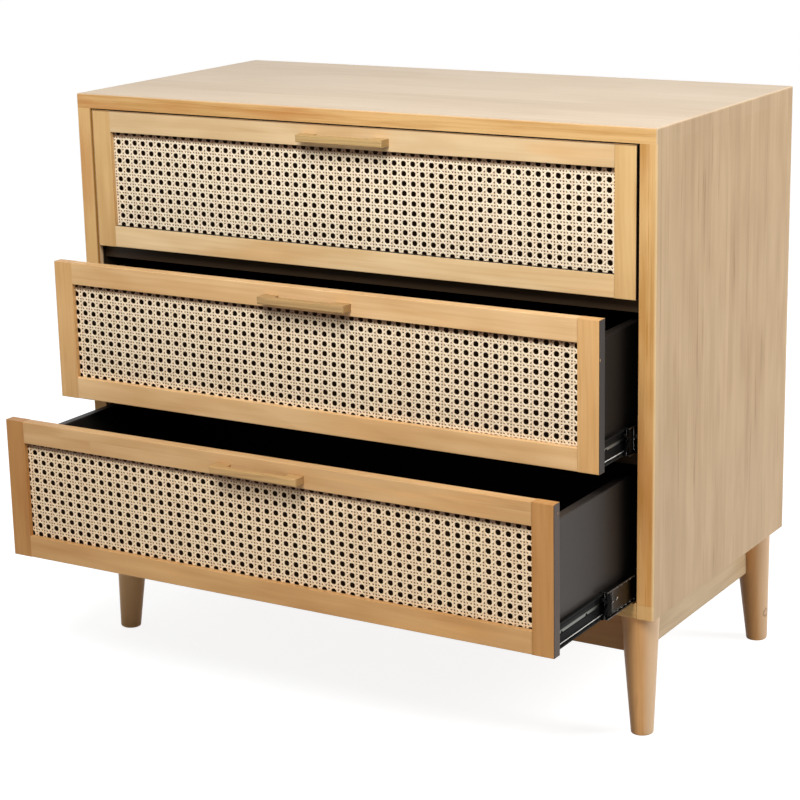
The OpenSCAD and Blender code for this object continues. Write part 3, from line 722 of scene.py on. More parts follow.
def floor_paint(place):
    """Pale grey that looks white to the camera, but still takes shadows."""
    return {
        "Base Color": mix((0.38, 0.38, 0.38), (0.42, 0.42, 0.42), noise(place, (3.0, 3.0, 3.0), 2.0)),
        "Roughness": 0.9,
        "Emission Color": WHITE,
        "Emission Strength": seen(place.tree) * 0.87,
    }


# Tints. Each gets the place on the piece and its planks, and gives the colour


def behind_front(place, front, margin):
    """1 further behind the case's front than a bare margin, and 0 before it."""
    return ramp(split(place)[1], front + margin - 1.5 * MM, front + margin + 1.5 * MM)


def edge_wood(place, planks, light, dark, offset):
    """The colour of the case's solid edges: warm, with rusty patches, deeper near the floor."""
    # Painted shade, deeper and more orange lower down, where less light falls
    low = ramp(split(place)[2], 0.60, 0.30)
    color = mix(light, dark, planks["Tone"] * 1.7 + (low * 0.14 + offset))
    color = mix(color, LOW_SHADE_ORANGE, low * 0.35)
    return mix(color, RUST, planks["Glow"] * 0.6)


def edge_tones(light, dark, inside, block_top, front, inner):
    """A tint for the sides: forward faces look like the case's edges, and the inward faces are painted dark.

    block_top is the height of the paler block at the foot, front the case's front along Y, and inner the
    distance of a side's inward face from the middle.
    """

    def tint(place, planks):
        x, y, z = split(place)
        sideways, forward, upward = facing(place.tree)
        side_of = calc("SIGN", x)
        outward = sideways * side_of
        ahead = ramp(-forward, 0.35, 0.85)

        # The front edge, with its block and the seam above that
        edge = edge_wood(place, planks, light, dark, side_of * 0.26 - 0.47)
        edge = mix(edge, light, ramp(z, block_top + 0.2 * MM, block_top) * 0.55)
        edge = mix(edge, dark, ramp(abs(z - block_top), 0.6 * MM, 0.2 * MM) * 0.5)

        # The inward face: an orange rim, a bare margin made lighter as painted light, and dark further in
        # Painted light on the bare margin
        bare = mix(edge, LIT_BARE_MARGIN, 0.95)
        bare = mix(bare, BARE_RIM, ramp(y, front + 4.0 * MM, front + 2.8 * MM))
        dark_inside = mix(bare, inside, behind_front(place, front, SIDE_MARGIN))
        color = mix(mix(planks["Color"], edge, ahead), dark_inside, ramp(-outward, 0.35, 0.85))

        # A thin line along the left edge's inner side, then the inner arris darkened and a painted highlight on the
        # outer arris
        line = ramp(-x, inner + 1.4 * MM, inner + 0.8 * MM) * (side_of * -0.2 + 0.2)
        color = mix(color, DARK_LINE_AND_SHADOW, line * ahead)
        color = mix(color, scaled(dark, 0.4), ramp(outward * forward, 0.15, 0.4) * 0.9)
        return mix(color, ARRIS_HIGHLIGHT, ramp(outward * -forward, 0.08, 0.3) * 0.7)

    return tint


def dark_inside_tones(inside, front, toward, margin):
    """A tint that paints the face towards the case's inside; toward is 1 for an upper face and -1 for a lower one."""

    def tint(place, planks):
        inward = ramp(facing(place.tree)[2] * toward, 0.5, 0.9)
        return mix(planks["Color"], inside, inward * behind_front(place, front, margin))

    return tint


def top_tones(light, dark, inside, front, side_planks):
    """A tint for the top: warm front edge, a painted lower face, and ends on which the grain of the sides goes on."""

    def tint(place, planks):
        sideways, forward, upward = facing(place.tree)
        offset = ramp(split(place)[0], -0.38, -0.05, -0.20, -0.46)
        edge = edge_wood(place, planks, light, dark, offset)
        color = dark_inside_tones(inside, front, -1.0, TOP_MARGIN)(place, planks)
        color = mix(color, edge, ramp(-forward, 0.35, 0.85))
        return mix(color, side_planks(place)["Color"], ramp(abs(sideways), 0.35, 0.85))

    return tint


def leg_tones(place, planks):
    """A tint for legs: paler outward, deeper inward, brighter on the left, and with a knot in the rear right one."""
    x, y, z = split(place)
    side_of = calc("SIGN", x)
    outward = facing(place.tree)[0] * side_of
    # Painted light on the outward faces
    color = mix(planks["Color"], LEG_PAINTED_LIGHT, ramp(outward, 0.35, 0.95) * 0.75)
    # Painted shade on the rear legs
    color = mix(color, LEG_SHADE_AND_KNOT, ramp(y, 0.1, 0.2, 0.0, 0.12))
    # Painted light on the left legs
    color = mix(color, LEG_LEFT_PAINTED_LIGHT, side_of * -0.3 + 0.3)
    # Painted shade on the inward faces
    color = mix(color, LEG_SHADE_AND_KNOT, ramp(outward, 0.25, -0.5) * (side_of * 0.35 + 0.40))
    ragged = (noise(place, (300.0, 300.0, 300.0), 2.0) - 0.5) * (8.0 * MM)
    off_ring = abs(vector_sum("DISTANCE", place, KNOT_PLACE)["Value"] + ragged - KNOT_RADIUS)
    return mix(color, scaled(LEG_SHADE_AND_KNOT, 0.7), ramp(off_ring, 2.4 * MM, 0.4 * MM) * 0.55)


def painted_ends(paint, half_width, top=None):
    """A tint that paints a drawer front's outer ends dark, with a few chips, and the edge at a height top if given."""

    def tint(place, planks):
        x, y, z = split(place)
        end = ramp(abs(x), half_width - 0.7 * MM, half_width - 0.3 * MM)
        color = planks["Color"]
        if top is not None:
            # Painted shadow of the gap on the top face and along the top edge
            end = calc("MAXIMUM", end, ramp(facing(place.tree)[2], 0.5, 0.9))
            color = mix(color, DARK_LINE_AND_SHADOW, ramp(z, top - 1.9 * MM, top - 1.1 * MM) * 0.75)
        chips = ramp(noise(place, (260.0, 260.0, 90.0), 2.0), 0.75, 0.79)
        return mix(color, paint, end * (1.0 - chips))

    return tint


def finish_of(name, maker, *values, **choices):
    """The material of that name, made the first time it is asked for."""
    material = bpy.data.materials.get(name)
    if not material:
        material = bpy.data.materials.new(name)
        material.use_nodes = True
        tree = material.node_tree
        fill(tree, tree.nodes["Principled BSDF"], maker(piece_place(tree), *values, **choices))
    return material


def dress(nodes, name, maker, *values, **choices):
    """Gives CAD nodes the material of that name, and gives it back."""
    material = finish_of(name, maker, *values, **choices)
    for node in nodes:
        slots = frame["nodes"][node].data.materials
        if not slots:
            raise RuntimeError(f"{node} has no material slot")
        for index in range(len(slots)):
            slots[index] = material
    return material


# Meshes


def new_piece(name, mesh, body, slot, material):
    """Puts a mesh in the scene as a piece that rides on a body."""
    mesh.materials.append(material)
    piece = bpy.data.objects.new(name, mesh)
    bpy.context.scene.collection.objects.link(piece)
    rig.slot(piece, slot)
    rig.ride(piece, body)
    return piece


def closed_mesh(name, shape, smooth=False):
    """The mesh of a shape that is done, with its faces turned outward."""
    bmesh.ops.recalc_face_normals(shape, faces=shape.faces)
    mesh = bpy.data.meshes.new(name)
    shape.to_mesh(mesh)
    shape.free()
    mesh.polygons.foreach_set("use_smooth", [smooth] * len(mesh.polygons))
    return mesh


def add_prism(shape, near, far):
    """Adds a solid that joins two outlines."""
    near, far = [shape.verts.new(point) for point in near], [shape.verts.new(point) for point in far]
    shape.faces.new(near)
    shape.faces.new(far[::-1])
    for step in range(len(near)):
        following = (step + 1) % len(near)
        shape.faces.new((near[step], far[step], far[following], near[following]))


def add_bar(shape, outline, start, length):
    """Adds a bar along Y with that outline in X and Z."""
    add_prism(shape, [(x, start, z) for x, z in outline], [(x, start + length, z) for x, z in outline])


class WovenSheet:
    """Collects strands and turns them into one mesh. The sheet lies in X and Z and its face looks to -Y."""

    def __init__(self, crown):
        self.crown = crown
        self.points, self.faces, self.runs, self.count = [], [], [], 0

    def strand(self, spine, half_width, kind):
        """Adds a strand along points (x, z, rise), with a crowned top and closed ends.

        kind is 0.5 for a diagonal, else 0.
        """
        first = len(self.points)
        (x0, z0, _), (x1, z1, _) = spine[0], spine[-1]
        length = math.hypot(x1 - x0, z1 - z0)
        side_x, side_z = (z1 - z0) / length * half_width, -(x1 - x0) / length * half_width
        for x, z, rise in spine:
            run = math.hypot(x - x0, z - z0)
            for across, up in ((-1.0, 0.0), (-0.5, self.crown), (0.5, self.crown), (1.0, 0.0)):
                self.points.append((x + across * side_x, -rise - up, z + across * side_z))
                self.runs.append((run, across, self.count + kind))
        for step in range(len(spine) - 1):
            a, b = first + 4 * step, first + 4 * step + 4
            self.faces += [(a + k, b + k, b + k + 1, a + k + 1) for k in range(3)] + [(a + 3, b + 3, b, a)]
        last = first + 4 * (len(spine) - 1)
        self.faces += [(first, first + 1, first + 2, first + 3), (last + 3, last + 2, last + 1, last)]
        self.count += 1

    def mesh(self, name):
        """The mesh, with each point's run, place across and strand number kept in it."""
        mesh = bpy.data.meshes.new(name)
        mesh.from_pydata(self.points, [], self.faces)
        kept = mesh.attributes.new("strand", "FLOAT_VECTOR", "POINT")
        kept.data.foreach_set("vector", [number for run in self.runs for number in run])
        mesh.polygons.foreach_set("use_smooth", [True] * len(mesh.polygons))
        mesh.set_sharp_from_angle(angle=math.radians(70))
        mesh.update()
        return mesh


def weave_cane(name, width, height, lie, settings):
    """Cane webbing: upright and level pairs that interlace, and diagonals that cut the corners of each hole."""
    step_x, step_z, lift = settings.pitch_across, settings.pitch_up, settings.lift
    spread_x = (settings.slit + settings.upright_width) / 2
    spread_z = (settings.slit + settings.level_width) / 2
    shift_x, shift_z, lean, fall = lie[0] * MM, lie[1] * MM, lie[2], lie[3]
    half_w, half_h = width / 2, height / 2
    columns, rows = math.ceil(half_w / step_x) + 2, math.ceil(half_h / step_z) + 2
    sheet = WovenSheet(settings.strand_height)

    def lay(stops, half_width, kind=0.0):
        """Lays a strand through stops (x, z, rise), bowed a little and cut off at the panel's edges."""
        slip = 0.1 * MM * math.sin(12.9 * sheet.count + 3000.0 * shift_x)
        kept = []
        for x, z, rise in stops:
            along = settings.bow * 0.5 * math.sin(4.0 * z / height + 7.0 * x / width) + lean * z + slip
            out = settings.bow * math.sin(9.0 * x / width + 300.0 * shift_x) + fall * x + slip
            if abs(x + along) <= half_w and abs(z + out) <= half_h:
                kept.append((x + along, z + out, rise))
        if len(kept) > 2:
            sheet.strand(kept, half_width, kind)

    def lay_pairs(own, other, half_width, spot):
        """Lays the pairs of one direction, which the other direction's pairs cross over and under."""
        (lines, own_step, own_spread, own_shift), (crossings, step, spread, shift) = own, other
        for line in range(-lines, lines + 1):
            for side in (-1, 1):
                own_place = (line + 0.5) * own_step + side * own_spread + own_shift
                stops = []
                for crossing in range(-crossings, crossings + 1):
                    middle = (crossing + 0.5) * step + shift
                    for off, rise in ((-spread, -side * lift), (0.0, 0.0), (spread, side * lift), (step / 2, 0.0)):
                        stops.append(spot(own_place, middle + off, rise))
                lay(stops, half_width)

    uprights, levels = (columns, step_x, spread_x, shift_x), (rows, step_z, spread_z, shift_z)
    lay_pairs(uprights, levels, settings.upright_width / 2, lambda x, z, rise: (x, z, rise))
    lay_pairs(levels, uprights, settings.level_width / 2, lambda z, x, rise: (x, z, -rise))

    # A diagonal passes between the holes, over one pair and under the next
    for slope in (1, -1):
        for k in range(-columns - rows, columns + rows + 1):
            stops = []
            for quarter in range(-4 * rows, 4 * rows + 1):
                up = quarter / 4
                across = slope * (up - k - 0.5)
                rise = slope * lift * 1.2 * math.cos(2 * math.pi * up)
                stops.append((across * step_x + shift_x, up * step_z + shift_z, rise))
            lay(stops, settings.diagonal_width / 2, 0.5)
    return sheet.mesh(name)


class MiddleMember:
    """The hollow of one middle runner member. Its fittings are placed out from its web and up from its middle."""

    def __init__(self, side, low, high):
        self.side, self.front = side, low.y
        self.web = high.x - 3.55 * MM
        self.depth = high.x - self.web
        self.middle = (high.z + low.z) / 2
        self.reach = (high.z - low.z) / 2 - MEMBER_SHEET

    def at(self, out, up):
        """The X and Z of a place in the hollow."""
        return self.side * (self.web + out), self.middle + up

    def add_cage(self, shape, start, settings):
        """Adds a pressed strip beside the web, bent outward along both edges to hold the balls."""
        lip = self.reach - settings.ball_diameter / 2 * 1.1
        lower = [(0.15, -lip), (1.9, -lip), (1.9, -lip + 0.5 * MM), (0.65, -lip + 1.2 * MM)]
        outline = lower + [(out, -up) for out, up in lower[::-1]]
        add_bar(shape, [self.at(out * MM, up) for out, up in outline], start, settings.cage_length)

    def add_balls(self, shape, start, settings):
        """Adds a row of balls along the top and the bottom of the cage."""
        radius = settings.ball_diameter / 2
        for number in range(1, math.ceil(settings.cage_length / settings.ball_pitch - 0.5)):
            for edge in (-1, 1):
                x, z = self.at(radius + 0.3 * MM, edge * (self.reach - radius - 0.1 * MM))
                centre = Matrix.Translation((x, start + number * settings.ball_pitch, z))
                bmesh.ops.create_icosphere(shape, subdivisions=2, radius=radius, matrix=centre)

    def add_tabs(self, shape, start):
        """Adds two bright tabs that stand out of the cage."""
        for along, tall in ((-2.0, 2.6), (9.5, 4.4)):
            outline = [(0.7, 0.0), (1.0, 0.0), (2.3, tall * 0.6), (2.5, tall), (2.2, tall), (0.7, tall * 0.3)]
            points = [self.at(out * MM, (up - 1.5) * MM) for out, up in outline]
            add_bar(shape, points, start + along * MM, 2.4 * MM)

    def add_stop(self, shape, length):
        """Adds a plastic stop with a rounded nose at the front end."""
        reach, wide = self.reach - 0.3 * MM, self.depth - 0.3 * MM
        angles = [math.pi * turn / 8 for turn in range(9)]
        outer = [(wide * (0.35 + 0.6 * math.sin(a)), -reach * math.cos(a)) for a in angles]
        inner = [(wide * (0.05 + 0.35 * math.sin(a)), -reach * 0.62 * math.cos(a)) for a in angles[::-1]]
        add_bar(shape, [self.at(out, up) for out, up in outer + inner], self.front + 0.2 * MM, length)

    def add_lever(self, shape, length):
        """Adds a plastic release lever of two curved arms that reach forward out of the member."""
        near, far, steps = 0.6 * MM, 3.4 * MM, 12
        for outer, start, end in ((far, 0.0, -0.80), (far - 0.8 * MM, 0.30, 0.86)):
            upper, lower = [], []
            for step in range(steps + 1):
                share = step / steps
                bend = start + (end - start) * (0.5 - 0.5 * math.cos(math.pi * share))
                y = self.front + 2.0 * MM - (length + 2.0 * MM) * share
                half = (2.3 - 0.9 * share) * MM
                upper.append((y, bend * self.reach * 0.9 + half))
                lower.append((y, bend * self.reach * 0.9 - half))
            faces = []
            for out in (near, outer):
                spots = [(self.at(out, up), y) for y, up in upper + lower[::-1]]
                faces.append([(x, y, z) for (x, z), y in spots])
            add_prism(shape, *faces)


# Operators


class CABINET_OT_case(bpy.types.Operator):
    """Finish the top, sides, bottom, back and rails of the case"""

    bl_idname = "cabinet.case"
    bl_label = "Case"

    def execute(self, context):
        """Gives each panel of the case its wood or paint."""
        f = context.scene.cabinet_finishes
        block_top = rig.box("bottom_panel")[1].z - 0.5 * MM
        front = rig.box("left_side_panel")[0].y
        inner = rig.box("right_side_panel")[0].x
        inside = scaled(f.divider_paint, 0.6)
        side_grain = dict(
            warm_share=0.0, board_width=0.058, board_contrast=0.14, ring_contrast=0.06, ring_spacing=0.0042,
            streak_contrast=0.75, seam_contrast=0.2, line_contrast=0.8, mottle_contrast=0.85,
        )

        def side_planks(place):
            """The grain of the side panels at a place on another piece."""
            return plank_grain(along_grain(place, "zyx", 5.0), f.side_light, f.side_dark, **side_grain)

        dress(
            ["top_panel"], "top wood", wood, f.top_light, f.top_dark, "xyz", seed=3.0, roughness=0.4,
            edge_radius=0.0, warm_share=0.0, board_width=0.066, board_contrast=0.3, ring_contrast=0.14,
            ring_spacing=0.008, streak_contrast=1.0, seam_contrast=0.05, line_contrast=0.35,
            tint=top_tones(f.edge_light, f.edge_dark, inside, front, side_planks),
        )
        dress(
            ["left_side_panel", "right_side_panel"], "side wood", wood, f.side_light, f.side_dark, "zyx", seed=5.0,
            roughness=0.45, edge_radius=0.0, rub=0.3,
            tint=edge_tones(f.edge_light, f.edge_dark, inside, block_top, front, inner), **side_grain,
        )
        dress(
            ["bottom_panel"], "bottom wood", wood, f.edge_light, f.edge_dark, "xyz", seed=7.0, roughness=0.45,
            board_width=0.07, board_length=1.2, tint=dark_inside_tones(inside, front, 1.0, BOTTOM_MARGIN),
        )
        dress(["back_panel"], "back paint", painted, f.paint, roughness=0.6)
        dress(["upper_divider_rail", "lower_divider_rail"], "divider paint", painted, f.divider_paint, gloss=0.15)
        return {"FINISHED"}


class CABINET_OT_base(bpy.types.Operator):
    """Finish the legs and the aprons"""

    bl_idname = "cabinet.base"
    bl_label = "Legs and aprons"

    def execute(self, context):
        """Gives the legs and aprons their wood, with its grain along each piece."""
        f = context.scene.cabinet_finishes
        dress(
            [f"{end}_{side}_leg" for end in ("front", "rear") for side in ("left", "right")], "leg wood", wood,
            f.leg_light, f.leg_dark, "zxy", seed=2.0, warm_share=1.0, board_length=3.0, ring_contrast=0.08,
            ring_spacing=0.005, streak_contrast=0.6, line_contrast=0.45, mottle_contrast=0.8, tint=leg_tones,
        )
        # The front and rear aprons are darkened as painted shade
        dress(
            ["front_apron", "rear_apron"], "apron wood", wood, shaded(f.leg_light, APRON_SHADE_SHARES),
            shaded(f.leg_dark, APRON_SHADE_SHARES), "xzy", seed=4.0, board_width=0.3, board_length=1.1, ring_contrast=0.10,
            streak_contrast=0.7, mottle_contrast=0.9,
        )
        dress(
            ["left_apron", "right_apron"], "end apron wood", wood, shaded(f.side_light, (1.19, 1.27, 1.33)),
            shaded(f.side_dark, (1.07, 1.14, 1.2)), "yzx", seed=6.0, warm_share=0.3, board_width=0.3,
            board_length=1.1, ring_contrast=0.08, streak_contrast=0.8, mottle_contrast=1.0,
        )
        return {"FINISHED"}


class CABINET_OT_fronts(bpy.types.Operator):
    """Finish the frames of the drawer fronts"""

    bl_idname = "cabinet.fronts"
    bl_label = "Drawer fronts"

    def execute(self, context):
        """Gives rails level grain and stiles upright grain, with their outer ends painted."""
        f = context.scene.cabinet_finishes
        half_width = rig.box("top_drawer_stiles")[1].x
        for number, drawer in enumerate(DRAWERS):
            # Each drawer's colour; they differ partly as painted shade
            light = (f.top_front, f.middle_front, f.bottom_front)[number]
            dark = shaded(light, (0.72, 0.60, 0.46))
            # The top and middle drawers' end paint is darkened as painted shade
            paint = scaled(shaded(f.paint, (1.5, 1.1, 0.9)), END_PAINT_SHADE_SHARES[number])
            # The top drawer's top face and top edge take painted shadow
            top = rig.box("top_drawer_top_rail")[1].z if drawer == "top_drawer" else None
            common = dict(
                warm_share=1.0, board_contrast=0.0, slant=0.05, tint=painted_ends(paint, half_width, top),
            )
            # Rail and stile shares per drawer, partly painted light and shade
            for rail, shares in RAIL_SHARES.items():
                dress(
                    [f"{drawer}_{rail}"], f"{drawer} {rail} wood", wood, shaded(light, shares[number]),
                    shaded(dark, shares[number]), "xzy", seed=8.0 + number, board_width=0.11, ring_contrast=0.10,
                    ring_spacing=0.007, streak_contrast=0.55, seam_contrast=0.08, line_contrast=0.15,
                    mottle_contrast=1.1, **common,
                )
            dress(
                [f"{drawer}_stiles"], f"{drawer} stile wood", wood, shaded(light, STILE_SHARES[number]),
                shaded(dark, STILE_SHARES[number]), "zxy", seed=9.0 + number, ring_contrast=0.12,
                streak_contrast=0.8, seam_contrast=0.0, line_contrast=0.3, mottle_contrast=0.9, **common,
            )
        return {"FINISHED"}


class CABINET_OT_cane(bpy.types.Operator):
    """Weave the cane of the three drawer fronts"""

    bl_idname = "cabinet.cane"
    bl_label = "Woven cane"

    def execute(self, context):
        """Weaves a panel for each drawer and puts it in its frame."""
        settings, f = context.scene.cabinet_weave, context.scene.cabinet_finishes
        rail_low, rail_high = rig.box("top_drawer_top_rail")
        sill_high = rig.box("top_drawer_bottom_rail")[1]
        width = rail_high.x - rail_low.x + 2 * settings.tuck
        height = rail_low.z - sill_high.z + 2 * settings.tuck
        for (drawer, lie), tone in zip(CANE_LAYS.items(), f.cane_tones):
            # Darker on the lower drawers, partly as painted shade
            light, dark = (shaded(color, (tone**0.5, tone, tone**1.6)) for color in (f.cane_light, f.cane_dark))
            low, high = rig.box(f"{drawer}_cane_panel")
            middle = (low + high) / 2
            rail_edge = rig.box(f"{drawer}_top_rail")[0].z
            mesh = weave_cane(f"{drawer}_weave", width, height, lie, settings)
            mesh.transform(Matrix.Translation(middle))
            cane = finish_of(f"{drawer} cane", split_cane, light, dark, middle.y, rail_edge)
            piece = new_piece(f"{drawer}_cane_weave", mesh, drawer, "cane", cane)
            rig.replaces(piece, f"{drawer}_cane_panel")
        return {"FINISHED"}


class CABINET_OT_handles(bpy.types.Operator):
    """Finish the handles"""

    bl_idname = "cabinet.handles"
    bl_label = "Handles"

    def execute(self, context):
        """Gives the handles their darker wood."""
        f = context.scene.cabinet_finishes
        # Each drawer's handle shares, partly painted light and shade
        for drawer, shares in zip(DRAWERS, HANDLE_SHARES):
            dress(
                [f"{drawer}_handle"], f"{drawer} handle wood", wood, shaded(f.handle_light, shares),
                shaded(f.handle_dark, shares), "xzy", seed=11.0, roughness=0.36, edge_radius=0.9 * MM,
                board_length=0.9, ring_contrast=0.3, ring_spacing=0.003, streak_contrast=0.9,
            )
        return {"FINISHED"}


class CABINET_OT_boxes(bpy.types.Operator):
    """Paint the drawer boxes"""

    bl_idname = "cabinet.boxes"
    bl_label = "Drawer boxes"

    def execute(self, context):
        """Gives the walls and floors of the boxes their dark paint."""
        f = context.scene.cabinet_finishes
        # The top and middle boxes' lower paint share is painted shade
        for drawer, (share, gloss) in BOX_SHADE_AND_GLOSS.items():
            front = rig.box(f"{drawer}_box_right_side")[0].y
            pieces = ("box_left_side", "box_right_side", "box_back", "box_floor")
            # The paint goes nearly black towards the back as painted shade
            dress(
                [f"{drawer}_{piece}" for piece in pieces], f"{drawer} box paint", painted, scaled(f.paint, share),
                roughness=0.4, gloss=gloss, fade=(front + 0.01, front + 0.19),
            )
            dress([f"{drawer}_box_front"], "board behind cane", painted, f.backing, roughness=0.8, gloss=0.1)
        return {"FINISHED"}


class CABINET_OT_runners(bpy.types.Operator):
    """Finish the runners, and add their tracks, cages, balls, stops and levers"""

    bl_idname = "cabinet.runners"
    bl_label = "Runners"

    def execute(self, context):
        """Dresses the steel members and builds the fittings in them."""
        settings, f = context.scene.cabinet_runners, context.scene.cabinet_finishes
        members = ["cabinet_runners"] + [f"{drawer}_mid_runners" for drawer in DRAWERS]
        steel = dress(members, "coated steel", metal, f.steel, 0.34)
        bright = finish_of("bright steel", metal, f.ball, 0.22)
        # The balls take bright steel darkened as painted shade
        balls = finish_of("ball steel", metal, scaled(f.ball, 0.15), 0.4)
        plastic = finish_of("black plastic", painted, (0.002, 0.002, 0.002), roughness=0.5, gloss=0.01, rub=0.03)
        for drawer in DRAWERS:
            low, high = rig.box(f"{drawer}_drawer_runners")
            node = f"{drawer}_drawer_runners"
            dress([node], f"{drawer} member steel", member_steel, f.web_steel, low.z, high.z)
            self.add_tracks(drawer, low, high, settings)
            self.add_fittings(drawer, settings, steel, bright, balls, plastic)
        return {"FINISHED"}

    def add_tracks(self, drawer, low, high, settings):
        """Adds the rolled tracks along the top and bottom of the drawer's own members."""
        shape = bmesh.new()
        web = high.x - 5.35 * MM + MEMBER_SHEET
        thin, deep = 0.02 * MM, 0.85 * MM
        lower = (low.z + MEMBER_SHEET, 1, settings.lower_track)
        upper = (high.z - MEMBER_SHEET, -1, settings.upper_track)
        for side in (-1, 1):
            for edge, up, tall in (lower, upper):
                outline = (
                    (thin, thin), (deep, thin), (deep * 0.55, tall * 0.3), (deep, tall * 0.62),
                    (deep * 0.9, tall * 0.93), (thin, tall),
                )
                points = [(side * (web + out), edge + up * height) for out, height in outline]
                add_bar(shape, points, low.y + 0.4 * MM, high.y - low.y - 0.8 * MM)
        steel = finish_of(f"{drawer} track", track_steel, low.z + settings.track_line, 1.1 * MM)
        name = f"{drawer}_raceways"
        new_piece(name, closed_mesh(name, shape), drawer, "runner_steel", steel)

    def add_fittings(self, drawer, settings, steel, bright, ball_steel, plastic):
        """Adds the ball cages, balls, stops, levers and tabs of the drawer's two middle members."""
        low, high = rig.box(f"{drawer}_mid_runners")
        start = low.y + settings.cage_start
        cages, balls, stops, tabs = bmesh.new(), bmesh.new(), bmesh.new(), bmesh.new()
        for side in (-1, 1):
            member = MiddleMember(side, low, high)
            member.add_cage(cages, start, settings)
            member.add_balls(balls, start, settings)
            member.add_tabs(tabs, start)
            member.add_stop(stops, settings.stop_length)
            member.add_lever(stops, settings.lever_length)
        for label, shape, material, slot in (
            ("ball_cages", cages, steel, "runner_steel"), ("balls", balls, ball_steel, "screw_steel"),
            ("stops", stops, plastic, "runner_steel"), ("cage_tabs", tabs, bright, "screw_steel"),
        ):
            name = f"{drawer}_{label}"
            mesh = closed_mesh(name, shape, smooth=label == "balls")
            new_piece(name, mesh, f"{drawer}_mid_runner_body", slot, material)


class CABINET_OT_fasteners(bpy.types.Operator):
    """Finish the screws and the dowels"""

    bl_idname = "cabinet.fasteners"
    bl_label = "Fasteners"

    def execute(self, context):
        """Gives screws bright steel and dowels bare wood."""
        f = context.scene.cabinet_finishes
        screws = ["leg_screws", "back_panel_screws", "runner_screws"]
        screws += [f"{drawer}_handle_screws" for drawer in DRAWERS]
        dress(screws, "bright steel", metal, f.ball, 0.22)
        dress(
            ["case_dowels"], "dowel wood", wood, f.dowel, scaled(f.dowel, 0.75), "zxy", seed=12.0, roughness=0.6,
            board_length=0.9,
        )
        return {"FINISHED"}


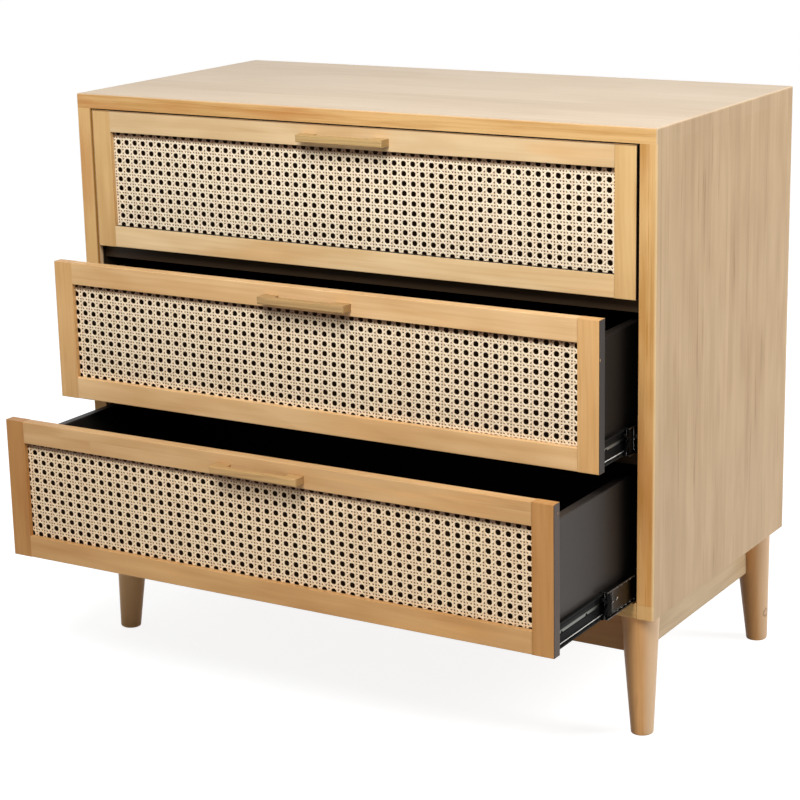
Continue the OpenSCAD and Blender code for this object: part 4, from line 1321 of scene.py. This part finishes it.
class CABINET_OT_stage(bpy.types.Operator):
    """Set the floor, the lamps and the camera"""

    bl_idname = "cabinet.stage"
    bl_label = "Stage"

    def execute(self, context):
        """Builds the studio round the cabinet."""
        settings = context.scene.cabinet_stage
        context.scene.view_settings.view_transform = "Standard"
        self.world(context, settings)
        self.floor(context)
        middle = Vector((0.0, 0.0, 0.4))
        self.lamp(context, "key_lamp", (0.45, -1.55, 1.95), middle, 0.9, settings.key_power)
        self.lamp(context, "side_lamp", (2.6, 1.0, 1.5), middle, 1.3, settings.side_power)
        self.lamp(context, "top_lamp", (0.0, 0.3, 2.7), middle, 1.6, settings.top_power)
        self.camera(context, settings)
        return {"FINISHED"}

    def world(self, context, settings):
        """Even light from all round, and plain white where the camera or a reflection sees it."""
        world = bpy.data.worlds.new("studio")
        context.scene.world = world
        world.use_nodes = True
        tree = world.node_tree
        level = seen(tree) * (1.0 - settings.world_level) + settings.world_level
        fill(tree, tree.nodes["Background"], {"Color": WHITE, "Strength": level})

    def floor(self, context):
        """A wide pale floor that shows white but keeps the cabinet's shadow."""
        mesh = bpy.data.meshes.new("floor")
        shape = bmesh.new()
        bmesh.ops.create_circle(shape, cap_ends=True, segments=96, radius=14.0)
        shape.to_mesh(mesh)
        shape.free()
        mesh.materials.append(finish_of("floor", floor_paint))
        floor = bpy.data.objects.new("floor", mesh)
        context.scene.collection.objects.link(floor)
        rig.stage(floor)

    def lamp(self, context, name, place, aim, size, power):
        """A square soft lamp that points at a place."""
        data = bpy.data.lights.new(name, "AREA")
        data.shape, data.size, data.energy = "SQUARE", size, power
        lamp = bpy.data.objects.new(name, data)
        context.scene.collection.objects.link(lamp)
        lamp.location = place
        lamp.rotation_mode = "QUATERNION"
        lamp.rotation_quaternion = (aim - Vector(place)).to_track_quat("-Z", "Y")

    def camera(self, context, settings):
        """A camera at the angle from which the cabinet was photographed."""
        data = bpy.data.cameras.new("camera")
        data.lens, data.sensor_width = settings.lens, 36.0
        data.clip_start, data.clip_end = 0.1, 60.0
        camera = bpy.data.objects.new("camera", data)
        context.scene.collection.objects.link(camera)
        yaw, pitch, roll = settings.camera_yaw, settings.camera_pitch, settings.camera_roll
        ahead = Vector((-math.sin(yaw) * math.cos(pitch), math.cos(yaw) * math.cos(pitch), -math.sin(pitch)))
        level = Vector((math.cos(yaw), math.sin(yaw), 0.0))
        up = level.cross(ahead)
        right = level * math.cos(roll) + up * math.sin(roll)
        above = up * math.cos(roll) - level * math.sin(roll)
        turn = Matrix((right, above, -ahead)).transposed().to_4x4()
        camera.matrix_world = Matrix.Translation(Vector(settings.camera_place)) @ turn
        context.scene.camera = camera


class CABINET_PT_panel(bpy.types.Panel):
    """Lists the steps that make the cabinet"""

    bl_label = "Cabinet"
    bl_idname = "CABINET_PT_panel"
    bl_space_type = "VIEW_3D"
    bl_region_type = "UI"
    bl_category = "Cabinet"

    def draw(self, context):
        """Draws a button for each step, then the settings."""
        for operator in OPERATORS:
            self.layout.operator(operator.bl_idname)
        for name, group in SETTINGS.items():
            column = self.layout.column(heading=group.__doc__)
            for setting in group.__annotations__:
                column.prop(getattr(context.scene, name), setting)


SETTINGS = {
    "cabinet_finishes": CabinetFinishes,
    "cabinet_weave": CabinetWeave,
    "cabinet_runners": CabinetRunners,
    "cabinet_stage": CabinetStage,
}
OPERATORS = (
    CABINET_OT_case,
    CABINET_OT_base,
    CABINET_OT_fronts,
    CABINET_OT_cane,
    CABINET_OT_handles,
    CABINET_OT_boxes,
    CABINET_OT_runners,
    CABINET_OT_fasteners,
    CABINET_OT_stage,
)


def register():
    """Makes the classes and settings known to Blender."""
    for part in (*SETTINGS.values(), *OPERATORS, CABINET_PT_panel):
        bpy.utils.register_class(part)
    for name, group in SETTINGS.items():
        setattr(bpy.types.Scene, name, PointerProperty(type=group))


def unregister():
    """Takes them out again."""
    for name in SETTINGS:
        delattr(bpy.types.Scene, name)
    for part in reversed((*SETTINGS.values(), *OPERATORS, CABINET_PT_panel)):
        bpy.utils.unregister_class(part)


def main():
    """Makes the whole scene and notes its size."""
    register()
    for operator in OPERATORS:
        family, step = operator.bl_idname.split(".")
        getattr(getattr(bpy.ops, family), step)()
    boxes = {"cad": [list(corner) for corner in cad_box], "visual": [list(corner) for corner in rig.bounds()]}
    with open(SIZE_FILE, "w") as file:
        json.dump(boxes, file)


if __name__ == "__main__":
    main()
